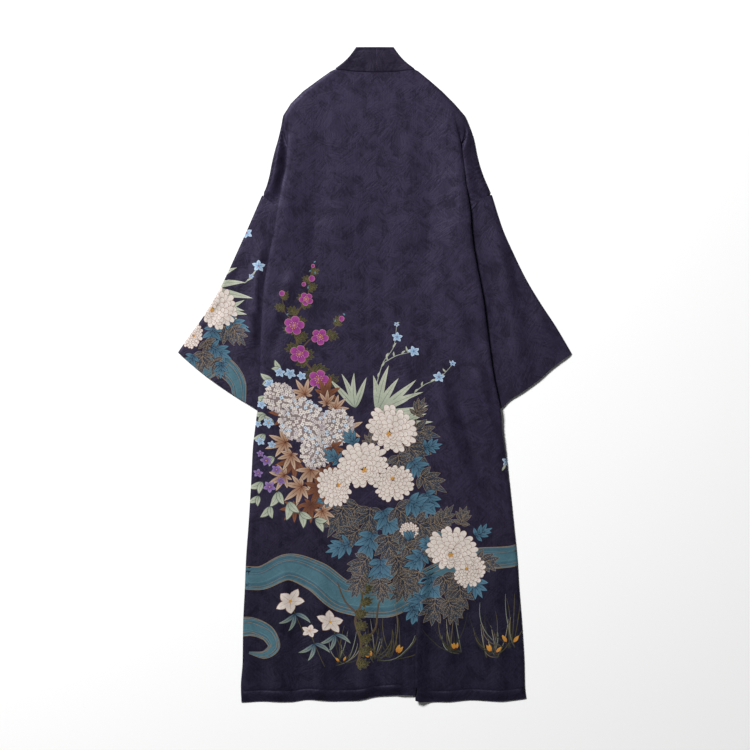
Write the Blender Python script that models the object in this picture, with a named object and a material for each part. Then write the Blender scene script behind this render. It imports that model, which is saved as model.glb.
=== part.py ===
"""A long haori robe laid flat with its back up, arms lowered, modelled in metres.

The neck points along +Y, +Z is up, and the origin is on the surface it lies on, under the middle of its outline.
Tables and lengths below are in millimetres. Left is the wearer's left, at -X.
Layers from the surface up: the two fronts and the collar's front runs, the flattened sleeves, then the back,
whose sides turn under over the sleeves in a tuck that starts at the point of each shoulder.
"""

import bpy
import numpy as np

MM = 0.001

# Cloth walls, thicker than the real satin so that they are sound solids.
WALL = 1.0
COLLAR_WALL = 1.6
SEAM_GAP = 0.3

# Outline of the laid garment.
COLLAR_TOP_Y = 573.0
CENTRE_SEAM_X = 2.0
COLLAR_RUN_X = (32.5, 77.0)  # a front run's inner and outer edge, from the middle
COLLAR_FOLD_LOW = (68.5, 535.0)  # where its folded side meets the shoulder
COLLAR_STRAIGHT_Y = 505.0
COLLAR_CLEAR = 0.3  # more room at the corner of the neck
FRONT_HEM_Y = -557.0
HEM_Y = -572.5

# Heights of the middle of each layer's wall.
FRONT_Z = WALL / 2
SLEEVE_OVER_FRONT = 1.3
SLEEVE_OVER_COLLAR = 0.7  # more again where the sleeve also crosses a collar run
SLEEVE_PITCH = 1.8
SLEEVE_FULL = 1.5  # how far a sleeve's upper layer stands off its flat height, and the most with its folds
SLEEVE_PUFF = 2.8
TUCK_Z = (2.6, 5.0)  # the strip outside a tuck, above and beside the sleeve's seam
TUCK_TURN = 1.0
TUCK_SLANT = 0.4  # how much the cloth climbs on its way back out
TUCK_TOP_Y = 452.0
TUCK_OPENS = 66.0  # down from there the tuck is fully folded
COLLAR_BACK_Z = 4.0
SHOULDER_Z = 1.9  # the back's edge over a front's shoulder
NECK_Z = 2.7  # and over the collar
SIDE_Z = 1.4  # the back's rolled side, down to a front

# The tuck's rolled edge, seen from above, and the width that the tuck takes up before it is folded.
ROLL_WIDTH = 3.5
TUCK_INSIDE = 14.0
TUCK_HOLDS = 0.8  # the share of its depth over which a tuck holds the back up
TUCK_SLOPE = 30.0  # and the width over which the back comes down from there
SIDE_ROLL = 8.0
STRIP_CLEAR = 0.7  # from the sleeve's seam, measured across
STRIP_STUB = 4.0  # how far it goes on inside the tuck, past the turn
STRIP_CREST = 1.6
SEAM_Z = 2.8
SEAM_SHOWN = 0.11  # the share of the sleeve seam that shows beside the tuck

# Across the back: where each side turns under (or ends, below the sleeves), and how deep the tuck reaches in.
SIDE_TABLE = np.array([
    # y, left_x, right_x, tuck_depth, lift
    (470, -146, 136, 0, 1.2),
    (452, -148, 139, 0, 2.0),
    (432, -150, 143, 2, 2.8),
    (408, -152, 149, 5, 3.4),
    (384, -154, 153, 8, 3.6),
    (360, -156, 156, 11, 3.8),
    (340, -161, 158, 13, 4.2),
    (320, -165, 161, 14, 4.8),
    (288, -171, 166, 16, 5.2),
    (246, -177, 169, 24, 5.2),
    (200, -186, 176, 36, 5.2),
    (138, -195, 188, 50, 5.2),
    (64, -199, 198, 46, 5.2),
    (5, -201, 206, 30, 4.8),
    (-60, -205, 219, 9, 3.6),
    (-128, -213, 228, 6, 1.2),
    (-188, -216, 235, 6, 0.3),
    (-254, -220, 242, 6, 0.0),
    (-324, -225, 249, 6, 0.0),
    (-373, -227, 252, 6, 0.0),
    (-436, -230, 257, 6, 0.0),
    (-503, -231, 261, 6, 0.0),
    (-545, -234, 262, 6, 0.0),
    (-575, -233, 266, 6, 0.0),
])
MIDDLE_TABLE = np.array([
    # y, height of the back's wall in the middle, and how much more where a sleeve is under it
    (540, 4.0, 0.0), (515, 4.3, 0.0), (460, 4.6, 0.0), (320, 4.8, 0.2), (250, 4.8, 1.0), (100, 4.8, 1.0),
    (-60, 4.8, 1.0), (-130, 4.6, 0.4), (-200, 4.2, 0.0), (-400, 3.5, 0.0), (-575, 3.3, 0.0),
])
SHOULDER_LEFT = np.array([
    # x, y from the collar down to the sleeve seam
    (-69, 534), (-77, 530.5), (-99, 515), (-126, 495), (-147, 474), (-160, 453), (-164, 432), (-169, 411),
    (-175, 390), (-180, 369), (-184, 348), (-190, 327), (-196, 314),
])
SHOULDER_RIGHT = np.array([
    # x, y from the collar down to the sleeve seam
    (69, 534), (76, 530.5), (95, 515), (118, 495), (139, 474), (157, 453), (166, 432), (173, 411),
    (177, 390), (182, 369), (189, 348), (198, 327), (203, 315),
])
NECK_SEAM = np.array([
    # x, y where the collar is sewn to the back
    (-69, 534), (-52, 531.5), (-33, 529), (2, 528), (37, 529), (56, 531.5), (69, 534),
])
HEM_TABLE = np.array([
    # x, y of the back's hem
    (-234, -573), (-218, -572), (-197, -571), (-148, -572), (-115, -568), (-70, -571), (-35, -570), (4, -563),
    (51, -560), (70, -561), (74, -566), (80, -570), (90, -572), (123, -572), (168, -569), (219, -571),
    (245, -569), (267, -566),
])
SLEEVE_TABLES = {
    "left": {
        # x, y down the shoulder side; and from the shoulder side to the underarm for the cuff and the armhole
        "outer": [(-197, 313.5), (-217, 267), (-237, 222), (-258, 176), (-273, 146), (-300, 101), (-323, 69),
                  (-344, 39)],
        "cuff": [(-344, 39), (-303, 4), (-273, -18), (-243, -38), (-207, -60), (-166, -86)],
        "armhole": [(-197, 313.5), (-183, 302), (-171, 290.5), (-104, 228), (-36, 166)],
    },
    "right": {
        "outer": [(204, 314.5), (223, 255), (242, 212), (263, 169), (290, 124), (317, 83), (344, 37)],
        "cuff": [(344, 37), (309, 11), (288, -8), (258, -30), (239, -42), (221, -59), (181, -88)],
        "armhole": [(204, 314.5), (188, 309), (172, 290.5), (105, 228), (39, 166)],
    },
}

# The big pleat at the hem: the cloth right of it laps over the cloth left of it.
PLEAT_X = 71.0
PLEAT_FLAT = (52.0, 100.0)  # the stretch of x that the pleat takes up where it has opened out
PLEAT_TOP_Y = -250.0
PLEAT_FULL_Y = -500.0
PLEAT_LAP = 13.0
PLEAT_LOW_Z = 3.4
PLEAT_TURN = 1.2
PLEAT_ROLL = 3.0
PLEAT_ROLL_HEIGHT = 1.5
PLEAT_SLANT = 0.6

# Soft folds pressed into a layer: from one end to the other, half width, and height (negative in a trough).
BACK_FOLDS = np.array([
    # x0, y0, x1, y1, half_width, height
    (-140, 310, -166, -20, 17, 1.2),
    (138, 300, 168, 60, 17, 1.2),
    (92, 120, 128, -260, 20, 1.4),
    (152, 60, 196, -170, 15, -0.9),
    (-96, -260, -104, -575, 17, -1.2),
    (-152, -220, -160, -575, 20, 2.0),
    (-52, -330, -48, -575, 18, 2.0),
    (-205, -330, -208, -575, 13, -0.8),
    (4, -260, 8, -575, 20, 2.2),
    (36, -240, 38, -575, 12, -0.7),
    (122, -300, 132, -575, 18, 2.0),
    (168, -330, 172, -575, 14, -1.2),
    (214, -250, 222, -575, 18, 2.0),
    (-28, -60, -22, -330, 24, 1.0),
    (-98, 60, -110, -230, 26, 1.2),
    (60, 430, 66, 190, 30, 0.7),
    (-56, 450, -70, 180, 30, 0.6),
])
SLEEVE_FOLDS = {
    "left": np.array([
        # x0, y0, x1, y1, half_width, height
        (-202, 250, -262, 10, 17, 1.9),
        (-235, 200, -318, 40, 12, -1.2),
        (-194, 180, -216, -50, 10, -1.2),
        (-280, 90, -318, 30, 12, 1.0),
    ]),
    "right": np.array([
        # x0, y0, x1, y1, half_width, height
        (206, 290, 246, -20, 17, 1.9),
        (218, 250, 300, 60, 12, -1.4),
        (262, 120, 322, 20, 14, 1.6),
        (196, 240, 226, 0, 10, -1.0),
    ]),
}

# How finely each piece is divided.
TOP_STEPS = (0.0, 0.06, 0.16, 0.36, 0.66)
TUCK_ROWS = (
    452, 440, 428, 414, 398, 376, 352, 330, 315, 309, 303, 297, 290.5, 278, 262, 235, 200, 155, 105, 50, -5, -44, -66,
)
SIDE_ROWS = (-80, -100, -138, -185, -235, -285, -330, -365, -395, -420, -442, -466, -500)
HEM_STEPS = (0.4, 0.75, 1.0)
LEFT_COLUMNS = 15
# Columns across a fold, each as a stage of its section and a share of that stage: 2.5 is halfway along the third.
TUCK_SHARES = (0.0, 0.2, 0.6, 1.0, 1.25, 1.5, 1.75, 2.0, 2.5, 3.0, 3.25, 3.5, 3.66, 3.83, 4.0)
EDGE_COLUMN = TUCK_SHARES.index(3.5)
PLEAT_SHARES = (0.0, 0.3, 0.6, 0.85, 1.0, 1.33, 1.67, 2.0, 3.0, 3.25, 3.5, 3.75, 4.0, 4.3, 4.65, 5.0)
RIGHT_COLUMNS = 8
SLEEVE_SECTIONS = 13
OUTSIDE_SHARES = (0.0, 0.05, 0.15, 0.3, 0.46, 0.64, 0.82)
INSIDE_SHARES = (0.15, 0.4, 0.7, 1.0)
RAMP = 16.0  # where a sleeve's lower layer starts to climb onto the front, before the tuck's rolled edge
RAISED = 4.0  # and where it has

COLOURS = {
    # linear base colours and roughness
    "back": ((0.037, 0.030, 0.058, 1.0), 0.55),
    "front": ((0.033, 0.027, 0.052, 1.0), 0.55),
    "sleeve": ((0.036, 0.029, 0.057, 1.0), 0.55),
    "collar": ((0.030, 0.024, 0.048, 1.0), 0.55),
}


def clear_scene():
    for thing in list(bpy.data.objects):
        bpy.data.objects.remove(thing, do_unlink=True)


def smooth_step(value):
    share = np.clip(value, 0.0, 1.0)
    return share * share * (3.0 - 2.0 * share)


def quarter_round(value):
    """Height share of a rounded edge at that share of its width."""
    share = np.clip(value, 0.0, 1.0)
    return np.sqrt(1.0 - (1.0 - share) ** 2)


def smooth_curve(known_x, known_y, wanted):
    """A curve through the points that doesn't overshoot them."""
    order = np.argsort(known_x)
    x, y = np.asarray(known_x, float)[order], np.asarray(known_y, float)[order]
    wanted = np.clip(wanted, x[0], x[-1])
    step, rise = np.diff(x), np.diff(y)
    slope = rise / step
    same_way = slope[:-1] * slope[1:] > 0
    inner = np.where(same_way, 2 * slope[:-1] * slope[1:] / np.where(same_way, slope[:-1] + slope[1:], 1.0), 0.0)
    tangent = np.concatenate([[slope[0]], inner, [slope[-1]]])
    k = np.clip(np.searchsorted(x, wanted) - 1, 0, len(step) - 1)
    t = (wanted - x[k]) / step[k]
    return (
        y[k] * (1 + 2 * t) * (1 - t) ** 2
        + tangent[k] * step[k] * t * (1 - t) ** 2
        + y[k + 1] * t * t * (3 - 2 * t)
        + tangent[k + 1] * step[k] * t * t * (t - 1)
    )


def along_line(points, shares):
    """Points at those shares of a smooth line through the given points."""
    points = np.asarray(points, float)
    length = np.concatenate([[0.0], np.cumsum(np.linalg.norm(np.diff(points, axis=0), axis=1))])
    at = np.asarray(shares, float) * length[-1]
    return np.stack([smooth_curve(length, points[:, k], at) for k in range(2)], axis=-1)


def distance_to_line(x, y, line):
    """Distance in plan from each point to a polyline."""
    best = np.full(np.shape(x), np.inf)
    for (ax, ay), (bx, by) in zip(line[:-1], line[1:]):
        dx, dy = bx - ax, by - ay
        share = np.clip(((x - ax) * dx + (y - ay) * dy) / (dx * dx + dy * dy), 0.0, 1.0)
        best = np.minimum(best, np.hypot(x - ax - share * dx, y - ay - share * dy))
    return best


def folds_height(x, y, folds):
    """Height added by soft folds: rounded across, and fading out towards a free end."""
    height = np.zeros(np.shape(x))
    for x0, y0, x1, y1, half_width, rise in folds:
        dx, dy = x1 - x0, y1 - y0
        along = ((x - x0) * dx + (y - y0) * dy) / (dx * dx + dy * dy)
        across = ((x - x0) * dy - (y - y0) * dx) / np.hypot(dx, dy)
        ends = smooth_step(along / 0.35) * (1.0 if y1 <= -570 else smooth_step((1.0 - along) / 0.35))
        height = height + rise * np.exp(-((across / half_width) ** 2)) * ends
    return height


def side_x(side, y):
    return smooth_curve(SIDE_TABLE[:, 0], SIDE_TABLE[:, 1 if side == "left" else 2], y)


def tuck_depth(y):
    return smooth_curve(SIDE_TABLE[:, 0], SIDE_TABLE[:, 3], y)


def back_height(x, y):
    """Height of the middle of the back's wall, away from its rolled edges."""
    flat = smooth_curve(MIDDLE_TABLE[:, 0], MIDDLE_TABLE[:, 1], y)
    over_sleeve = smooth_curve(MIDDLE_TABLE[:, 0], MIDDLE_TABLE[:, 2], y) * smooth_step((np.abs(x) - 14.0) / 20.0)
    lift = smooth_curve(SIDE_TABLE[:, 0], SIDE_TABLE[:, 4], y)
    held = tuck_depth(y) * TUCK_HOLDS
    left = (x - side_x("left", y) - held) / TUCK_SLOPE
    right = (side_x("right", y) - x - held) / TUCK_SLOPE
    raised = lift * (2.0 - smooth_step(left) - smooth_step(right))
    near_neck = smooth_step((528.0 - y) / 60.0)
    folds = folds_height(x, y, BACK_FOLDS) * near_neck
    full = flat + over_sleeve + raised + folds
    return edge_roll(x, y, full)


def edge_roll(x, y, full):
    """Brings a height down to the front along the back's shoulder edges."""
    shoulders = np.minimum(distance_to_line(x, y, SHOULDER_LEFT), distance_to_line(x, y, SHOULDER_RIGHT))
    edge = NECK_Z + (SHOULDER_Z - NECK_Z) * smooth_step((np.abs(x) - 84.0) / 12.0)
    return edge + (full - edge) * quarter_round(shoulders / SIDE_ROLL)


def tuck_z(y):
    """Height of the strip outside a tuck: low on the front's shoulder, higher where the sleeve is under it."""
    return TUCK_Z[0] + (TUCK_Z[1] - TUCK_Z[0]) * smooth_step((332.0 - y) / 38.0)


def armhole_curve(side, reach=1.0):
    """The sleeve seam in plan, from the shoulder side as far as that share of its length."""
    return along_line(SLEEVE_TABLES[side]["armhole"], np.linspace(0.0, reach, 41))


def strip_end(side, y):
    """Where the strip outside a tuck ends: the shoulder's outline, then the sleeve seam, then inside the tuck."""
    sign = -1.0 if side == "left" else 1.0
    shoulder = SHOULDER_LEFT if side == "left" else SHOULDER_RIGHT
    armhole = armhole_curve(side)[::-1]
    outline = smooth_curve(shoulder[4:, 1], shoulder[4:, 0], y) * sign
    seam = np.interp(y, armhole[:, 1], armhole[:, 0]) * sign - STRIP_CLEAR
    inside = (side_x(side, y) * sign - tuck_depth(y)) + STRIP_STUB
    outer = np.where(y > armhole[-1, 1], outline, np.minimum(outline, seam))
    return sign * np.maximum(outer, inside)


def tuck_section(side, y, shares):
    """x and z down one side's tuck at height y, from the strip's free end (share 0) to the back (share 5).

    The strip runs in under the back, turns, comes back out and rolls over into the back's top layer.
    """
    sign = -1.0 if side == "left" else 1.0
    edge = side_x(side, y) * sign  # distances grow outwards from the middle
    depth = tuck_depth(y)
    down = (TUCK_TOP_Y - y) / TUCK_OPENS
    rise, lap = smooth_step(down / 0.5), smooth_step((down - 0.3) / 0.7)
    outer = strip_end(side, y) * sign
    inner = edge - TUCK_INSIDE
    strip_z = tuck_z(y)
    top = back_height(sign * (edge - ROLL_WIDTH), y)
    roll_height = (top - strip_z - 2 * TUCK_TURN - TUCK_SLANT) / 2
    turn = edge - depth + TUCK_TURN
    stages = length_stages(shares)
    parts = np.array([
        max(outer - turn, 0.5),
        np.pi * TUCK_TURN,
        max(edge - ROLL_WIDTH - turn, 0.5),
        np.pi * (ROLL_WIDTH + roll_height) / 2,
        TUCK_INSIDE - ROLL_WIDTH,
    ])
    before = np.cumsum(parts) - parts
    reach = np.array([before[stage] + parts[stage] * share for stage, share in stages]) / parts.sum()
    x, z = np.zeros(len(stages)), np.zeros(len(stages))
    for k, (stage, share) in enumerate(stages):
        angle = np.pi * share
        if stage == 0:
            x[k] = outer + (turn - outer) * share
            z[k] = strip_z
        elif stage == 1:
            x[k] = turn - TUCK_TURN * np.sin(angle)
            z[k] = strip_z + TUCK_TURN * (1 - np.cos(angle))
        elif stage == 2:
            x[k] = turn + (edge - ROLL_WIDTH - turn) * share
            z[k] = strip_z + 2 * TUCK_TURN + TUCK_SLANT * share
        elif stage == 3:
            x[k] = edge - ROLL_WIDTH + ROLL_WIDTH * np.sin(angle)
            z[k] = top - roll_height * (1 + np.cos(angle))
        else:
            x[k] = edge - ROLL_WIDTH - (TUCK_INSIDE - ROLL_WIDTH) * share
            z[k] = back_height(sign * x[k], y)
    flat_x = outer + (inner - outer) * reach
    flat_z = back_height(sign * flat_x, y)
    on_strip = np.array([stage == 0 for stage, _ in stages])
    crest = STRIP_CREST * strip_share(x, edge, outer)
    z = np.where(on_strip, seam_roll(side, sign * x, y, edge_roll(sign * x, y, z + crest)), z)
    return sign * (flat_x + (x - flat_x) * lap), flat_z + (z - flat_z) * rise


def strip_share(x, edge, outer):
    """A hump across the strip that shows outside a tuck, 0 at both of its sides."""
    return np.sin(np.pi * np.clip((x - edge) / max(outer - edge, 1.0), 0.0, 1.0))


def seam_roll(side, x, y, height):
    """Brings a strip's height down to the sleeve's along the sleeve seam."""
    near = quarter_round(distance_to_line(x, y, armhole_curve(side, SEAM_SHOWN)[::8]) / 6.0)
    return SEAM_Z + (height - SEAM_Z) * near


def length_stages(shares):
    """Splits each share from 0 to 5 into its stage and the share within that stage."""
    return [(min(int(s), 4), s - min(int(s), 4)) for s in shares]


def side_section(side, y, shares):
    """x and z of a plain rolled side below the sleeves, for the tuck's shares from its edge inwards."""
    sign = -1.0 if side == "left" else 1.0
    edge = side_x(side, y) * sign
    settle = smooth_step((-66.0 - y) / 34.0)
    width = ROLL_WIDTH + (SIDE_ROLL - ROLL_WIDTH) * settle
    top = back_height(sign * (edge - width), y)
    start = (top + tuck_z(y) + TUCK_SLANT) / 2 + TUCK_TURN
    low = start + (SIDE_Z - start) * settle
    angle = (np.asarray(shares) - 3.5) * np.pi
    x = edge - width * (1 - np.cos(angle))
    z = low + (top - low) * np.sin(angle)
    return sign * x, z


def pleat_section(y):
    """x and z across the big hem pleat at height y, from the under cloth to the over cloth.

    Down from its top the pleat first rises as a ridge, and then laps over.
    """
    down = (PLEAT_TOP_Y - y) / (PLEAT_TOP_Y - PLEAT_FULL_Y)
    rise, lap = smooth_step(down / 0.5), smooth_step((down - 0.35) / 0.65)
    start, end = PLEAT_FLAT
    turn = PLEAT_X + PLEAT_LAP - PLEAT_TURN
    roll = PLEAT_X + PLEAT_ROLL
    middle_z = PLEAT_LOW_Z + 2 * PLEAT_TURN
    top = middle_z + PLEAT_SLANT + 2 * PLEAT_ROLL_HEIGHT
    parts = np.array([
        turn - start, np.pi * PLEAT_TURN, turn - roll, np.pi * PLEAT_ROLL * 0.9, end - roll,
    ])
    stages = length_stages(PLEAT_SHARES)
    stage = np.array([s for s, _ in stages])
    share = np.array([q for _, q in stages])
    reach = ((np.cumsum(parts) - parts)[stage] + parts[stage] * share) / parts.sum()
    angle = np.pi * share
    low_z, high_z = back_height(np.array([start, end]), y)
    x = np.choose(stage, [
        start + (turn - start) * share,
        turn + PLEAT_TURN * np.sin(angle),
        turn + (roll - turn) * share,
        roll - PLEAT_ROLL * np.sin(angle),
        roll + (end - roll) * share,
    ])
    z = np.choose(stage, [
        low_z + (PLEAT_LOW_Z - low_z) * smooth_step(share),
        PLEAT_LOW_Z + PLEAT_TURN * (1 - np.cos(angle)),
        middle_z + PLEAT_SLANT * share,
        middle_z + PLEAT_SLANT + PLEAT_ROLL_HEIGHT * (1 - np.cos(angle)),
        top + (high_z - top) * smooth_step(share),
    ])
    flat_x = start + (end - start) * reach
    flat_z = back_height(flat_x, y)
    return flat_x + (x - flat_x) * lap, flat_z + (z - flat_z) * rise


def spread(start, end, count, ease=1.0):
    """Values from start to end, closer together near both ends as ease falls."""
    share = np.linspace(0.0, 1.0, count)
    return start + (end - start) * (ease * share + (1 - ease) * smooth_step(share))


def top_y(x):
    """The back's upper edge: shoulder, neck seam, shoulder."""
    line = np.concatenate([SHOULDER_LEFT[:7][::-1], NECK_SEAM[1:-1], SHOULDER_RIGHT[:7]])
    return np.interp(x, line[:, 0], line[:, 1])


def back_row(y):
    """One row across the back, left tuck to right tuck, as points in plan and height."""
    left_x, left_z = tuck_section("left", y, TUCK_SHARES)
    right_x, right_z = tuck_section("right", y, TUCK_SHARES)
    return join_row(left_x, left_z, right_x[::-1], right_z[::-1], y)


def lower_row(y):
    """One row below the sleeves, from side to side."""
    shares = TUCK_SHARES[EDGE_COLUMN:]
    left_x, left_z = side_section("left", y, shares)
    right_x, right_z = side_section("right", y, shares)
    return join_row(left_x, left_z, right_x[::-1], right_z[::-1], y)


def join_row(left_x, left_z, right_x, right_z, y):
    middle_left = spread(left_x[-1], PLEAT_FLAT[0], LEFT_COLUMNS + 1)[1:-1]
    pleat_x, pleat_z = pleat_section(y)
    middle_right = spread(PLEAT_FLAT[1], right_x[0], RIGHT_COLUMNS + 1)[1:-1]
    x = np.concatenate([left_x, middle_left, pleat_x, middle_right, right_x])
    z = np.concatenate([
        left_z, back_height(middle_left, y), pleat_z, back_height(middle_right, y), right_z,
    ])
    return np.stack([x, np.full(len(x), float(y)), z], axis=1)


def cloth_wall(name, points, faces, thickness):
    """A closed wall of that thickness around a surface of quads, with its rim closed."""
    points = np.asarray(points, float)
    normals = np.zeros_like(points)
    for a, b, c, d in faces:
        normal = np.cross(points[c] - points[a], points[d] - points[b])
        for corner in (a, b, c, d):
            normals[corner] += normal
    normals /= np.maximum(np.linalg.norm(normals, axis=1, keepdims=True), 1e-12)
    upper, lower = points + normals * thickness / 2, points - normals * thickness / 2
    count = len(points)
    edges = {}
    for face in faces:
        for start, end in zip(face, face[1:] + face[:1]):
            edges[(start, end)] = edges.get((start, end), 0) + 1
    rim = [(start, end) for start, end in edges if (end, start) not in edges]
    solid = [tuple(face) for face in faces]
    solid += [tuple(corner + count for corner in reversed(face)) for face in faces]
    solid += [(end, start, start + count, end + count) for start, end in rim]
    return new_object(name, np.concatenate([upper, lower]), solid)


def new_object(name, points, faces):
    """A named object with its own material, from points in millimetres."""
    mesh = bpy.data.meshes.new(name)
    mesh.from_pydata([tuple(p) for p in np.asarray(points) * MM], [], faces)
    mesh.update()
    mesh.shade_smooth()
    mesh.set_sharp_from_angle(angle=np.radians(50))
    thing = bpy.data.objects.new(name, mesh)
    bpy.context.scene.collection.objects.link(thing)
    colour, roughness = COLOURS[name.split("_")[0]]
    material = bpy.data.materials.new(name + "_cloth")
    material.use_nodes = True
    shader = material.node_tree.nodes["Principled BSDF"]
    shader.inputs["Base Color"].default_value = colour
    shader.inputs["Roughness"].default_value = roughness
    shader.inputs["Metallic"].default_value = 0.0
    mesh.materials.append(material)
    return thing


def grid_faces(rows, columns, first=0):
    """Quads of a grid of points stored row by row, seen anticlockwise from above when rows run down the page."""
    faces = []
    for row in range(rows - 1):
        for column in range(columns - 1):
            corner = first + row * columns + column
            faces.append((corner, corner + columns, corner + columns + 1, corner + 1))
    return faces


def make_back():
    """The back: one cloth from the neck to the hem, tucked under at both sides above the cuffs."""
    first = back_row(TUCK_ROWS[0])
    rows = []
    for step in TOP_STEPS:
        row = first.copy()
        top_x = first[:, 0] * 0.985
        upper = top_y(top_x)
        row[:, 0] = top_x + (first[:, 0] - top_x) * step
        row[:, 1] = upper + (first[:, 1] - upper) * step
        row[:, 2] = back_height(row[:, 0], row[:, 1])
        rows.append(row)
    rows += [back_row(y) for y in TUCK_ROWS]
    width = len(rows[0])
    points = np.concatenate(rows)
    faces = grid_faces(len(rows), width)
    lower = [lower_row(y) for y in SIDE_ROWS]
    last_y = SIDE_ROWS[-1]
    for step in HEM_STEPS:
        row = lower_row(last_y + (HEM_Y - last_y) * step)
        goal = smooth_curve(HEM_TABLE[:, 0], HEM_TABLE[:, 1], row[:, 0])
        row[:, 1] = last_y + (goal - last_y) * step
        lower.append(row)
    narrow = len(lower[0])
    start = len(points)
    points = np.concatenate([points] + lower)
    above = [start - width + EDGE_COLUMN + k for k in range(narrow)]
    for k in range(narrow - 1):
        faces.append((above[k], start + k, start + k + 1, above[k + 1]))
    faces += grid_faces(len(lower), narrow, start)
    return cloth_wall("back", points, faces, WALL)


def make_front(side):
    """One front: a flat panel under the back, from its shoulder to its hem, beside the collar's front run."""
    sign = -1.0 if side == "left" else 1.0
    shoulder = SHOULDER_LEFT if side == "left" else SHOULDER_RIGHT
    inner = COLLAR_RUN_X[1] + SEAM_GAP
    armhole = armhole_curve(side)[2:7]
    outline = [(inner, COLLAR_STRAIGHT_Y), (COLLAR_FOLD_LOW[0] + 1.6, COLLAR_FOLD_LOW[1] - 4.5)]
    outline += [(abs(x) - 1.0, y - 0.6) for x, y in shoulder[2:]]
    outline += [(abs(x) - 1.2, y + 1.5) for x, y in armhole]
    for y in (280, 262, 246, 200, 138, 64, 5, -60):
        outline.append((abs(side_x(side, y)) - 3.0, y))
    for y in (-128, -188, -254, -324, -373, -436, -503, -540):
        outline.append((abs(side_x(side, y)) - 1.2, y))
    outline.append((abs(side_x(side, -545)) - 1.2, FRONT_HEM_Y))
    outline.append((inner, FRONT_HEM_Y))
    points = [(sign * x, y, 0.0) for x, y in outline] + [(sign * x, y, WALL) for x, y in outline]
    count = len(outline)
    ring = list(range(count))
    if side == "right":  # runs clockwise seen from above
        base, lid = ring, ring[::-1]
        walls = [(k, k + count, (k + 1) % count + count, (k + 1) % count) for k in range(count)]
    else:
        base, lid = ring[::-1], ring
        walls = [(k, (k + 1) % count, (k + 1) % count + count, k + count) for k in range(count)]
    faces = [tuple(base), tuple(k + count for k in lid)] + walls
    return new_object("front_" + side, points, faces)


def make_collar(side):
    """Half of the collar band: up from the neck seam, folded over at the side, and down the front to the hem."""
    sign = -1.0 if side == "left" else 1.0
    half_wall = COLLAR_WALL / 2
    run_inner, run_outer = COLLAR_RUN_X
    centre = CENTRE_SEAM_X * sign + SEAM_GAP / 2
    fold_top, fold_low = (run_inner, COLLAR_TOP_Y), COLLAR_FOLD_LOW
    across = np.array([0.0, 0.33, 0.67, 1.0])  # from the band's folded edge to its sewn edge
    sections = []
    for share in (0.0, 0.25, 0.5, 0.75, 0.9, 1.0):
        top = np.array([centre + (fold_top[0] - 1.6 - centre) * share, COLLAR_TOP_Y])
        low_x = centre + (fold_low[0] - 1.2 - centre) * share
        low = np.array([low_x, top_y(sign * low_x) + SEAM_GAP + COLLAR_CLEAR * share])
        plan = top + (low - top) * across[:, None]
        sections.append(np.column_stack([plan, np.full(4, COLLAR_BACK_Z)]))
    last = sections[-1]
    outward = np.array([(0.98, 0.0), (0.80, 0.55), (0.72, 0.70), (0.72, 0.70)])
    radius = (COLLAR_BACK_Z - half_wall) / 2
    for angle in (45.0, 90.0, 135.0):
        turn = np.radians(angle)
        ring = last.copy()
        ring[:, :2] += outward * radius * np.sin(turn)
        ring[:, 2] = half_wall + radius * (1 + np.cos(turn))
        sections.append(ring)
    folded = last.copy()
    folded[:, 2] = half_wall
    sections.append(folded)
    edge_x = run_inner + (run_outer - run_inner) * across
    for y in (COLLAR_STRAIGHT_Y, 470, 400, 300, 150, 0, -150, -300, -430, FRONT_HEM_Y):
        sections.append(np.column_stack([edge_x, np.full(4, float(y)), np.full(4, half_wall)]))
    points = np.concatenate(sections)
    points[:, 0] *= sign
    faces = grid_faces(len(sections), 4)
    if side == "left":
        faces = [tuple(reversed(face)) for face in faces]
    return cloth_wall("collar_" + side, points, faces, COLLAR_WALL)


def sleeve_plan(side, along, across):
    """Plan points of a sleeve at shares along it (armhole to cuff) and across it (shoulder side to underarm)."""
    table = SLEEVE_TABLES[side]
    outer = along_line(table["outer"], along)
    under = along_line([table["armhole"][-1], table["cuff"][-1]], along)
    armhole = along_line(table["armhole"], across)
    cuff = along_line(table["cuff"], across)
    v, w = np.asarray(along)[:, None], np.asarray(across)[:, None]
    corners = (
        (1 - v) * (1 - w) * np.array(table["armhole"][0]) + (1 - v) * w * np.array(table["armhole"][-1])
        + v * (1 - w) * np.array(table["cuff"][0]) + v * w * np.array(table["cuff"][-1])
    )
    return (1 - w) * outer + w * under + (1 - v) * armhole + v * cuff - corners


def outside_fold(side, points):
    """How far each plan point lies outside the line where the back turns under; negative under the back."""
    sign = -1.0 if side == "left" else 1.0
    return sign * points[:, 0] - sign * side_x(side, points[:, 1])


def fold_share(side, along):
    """The share across a sleeve at which it passes under the back's rolled edge."""
    tries = np.linspace(0.0, 1.0, 401)
    out = outside_fold(side, sleeve_plan(side, np.full(401, along), tries))
    inside = np.nonzero(out <= 0)[0]
    return tries[inside[0]]


def sleeve_heights(side, points):
    """Heights of the lower and upper layer of a sleeve at plan points."""
    out = outside_fold(side, points)
    table = SLEEVE_TABLES[side]
    edge = distance_to_line(points[:, 0], points[:, 1], table["outer"])
    seam = distance_to_line(points[:, 0], points[:, 1], armhole_curve(side, SEAM_SHOWN)[::8])
    over_front = SLEEVE_OVER_FRONT * smooth_step((RAMP - out) / (RAMP - RAISED))
    over_collar = SLEEVE_OVER_COLLAR * smooth_step((126.0 - np.abs(points[:, 0])) / 36.0)
    low = FRONT_Z + over_front + over_collar
    shown = smooth_step(out / 34.0) * quarter_round(edge / 16.0) * quarter_round(seam / 16.0)
    puff = (SLEEVE_FULL + folds_height(points[:, 0], points[:, 1], SLEEVE_FOLDS[side])) * shown
    high = low + SLEEVE_PITCH + np.clip(puff, -0.2, SLEEVE_PUFF)
    return low, high


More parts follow.
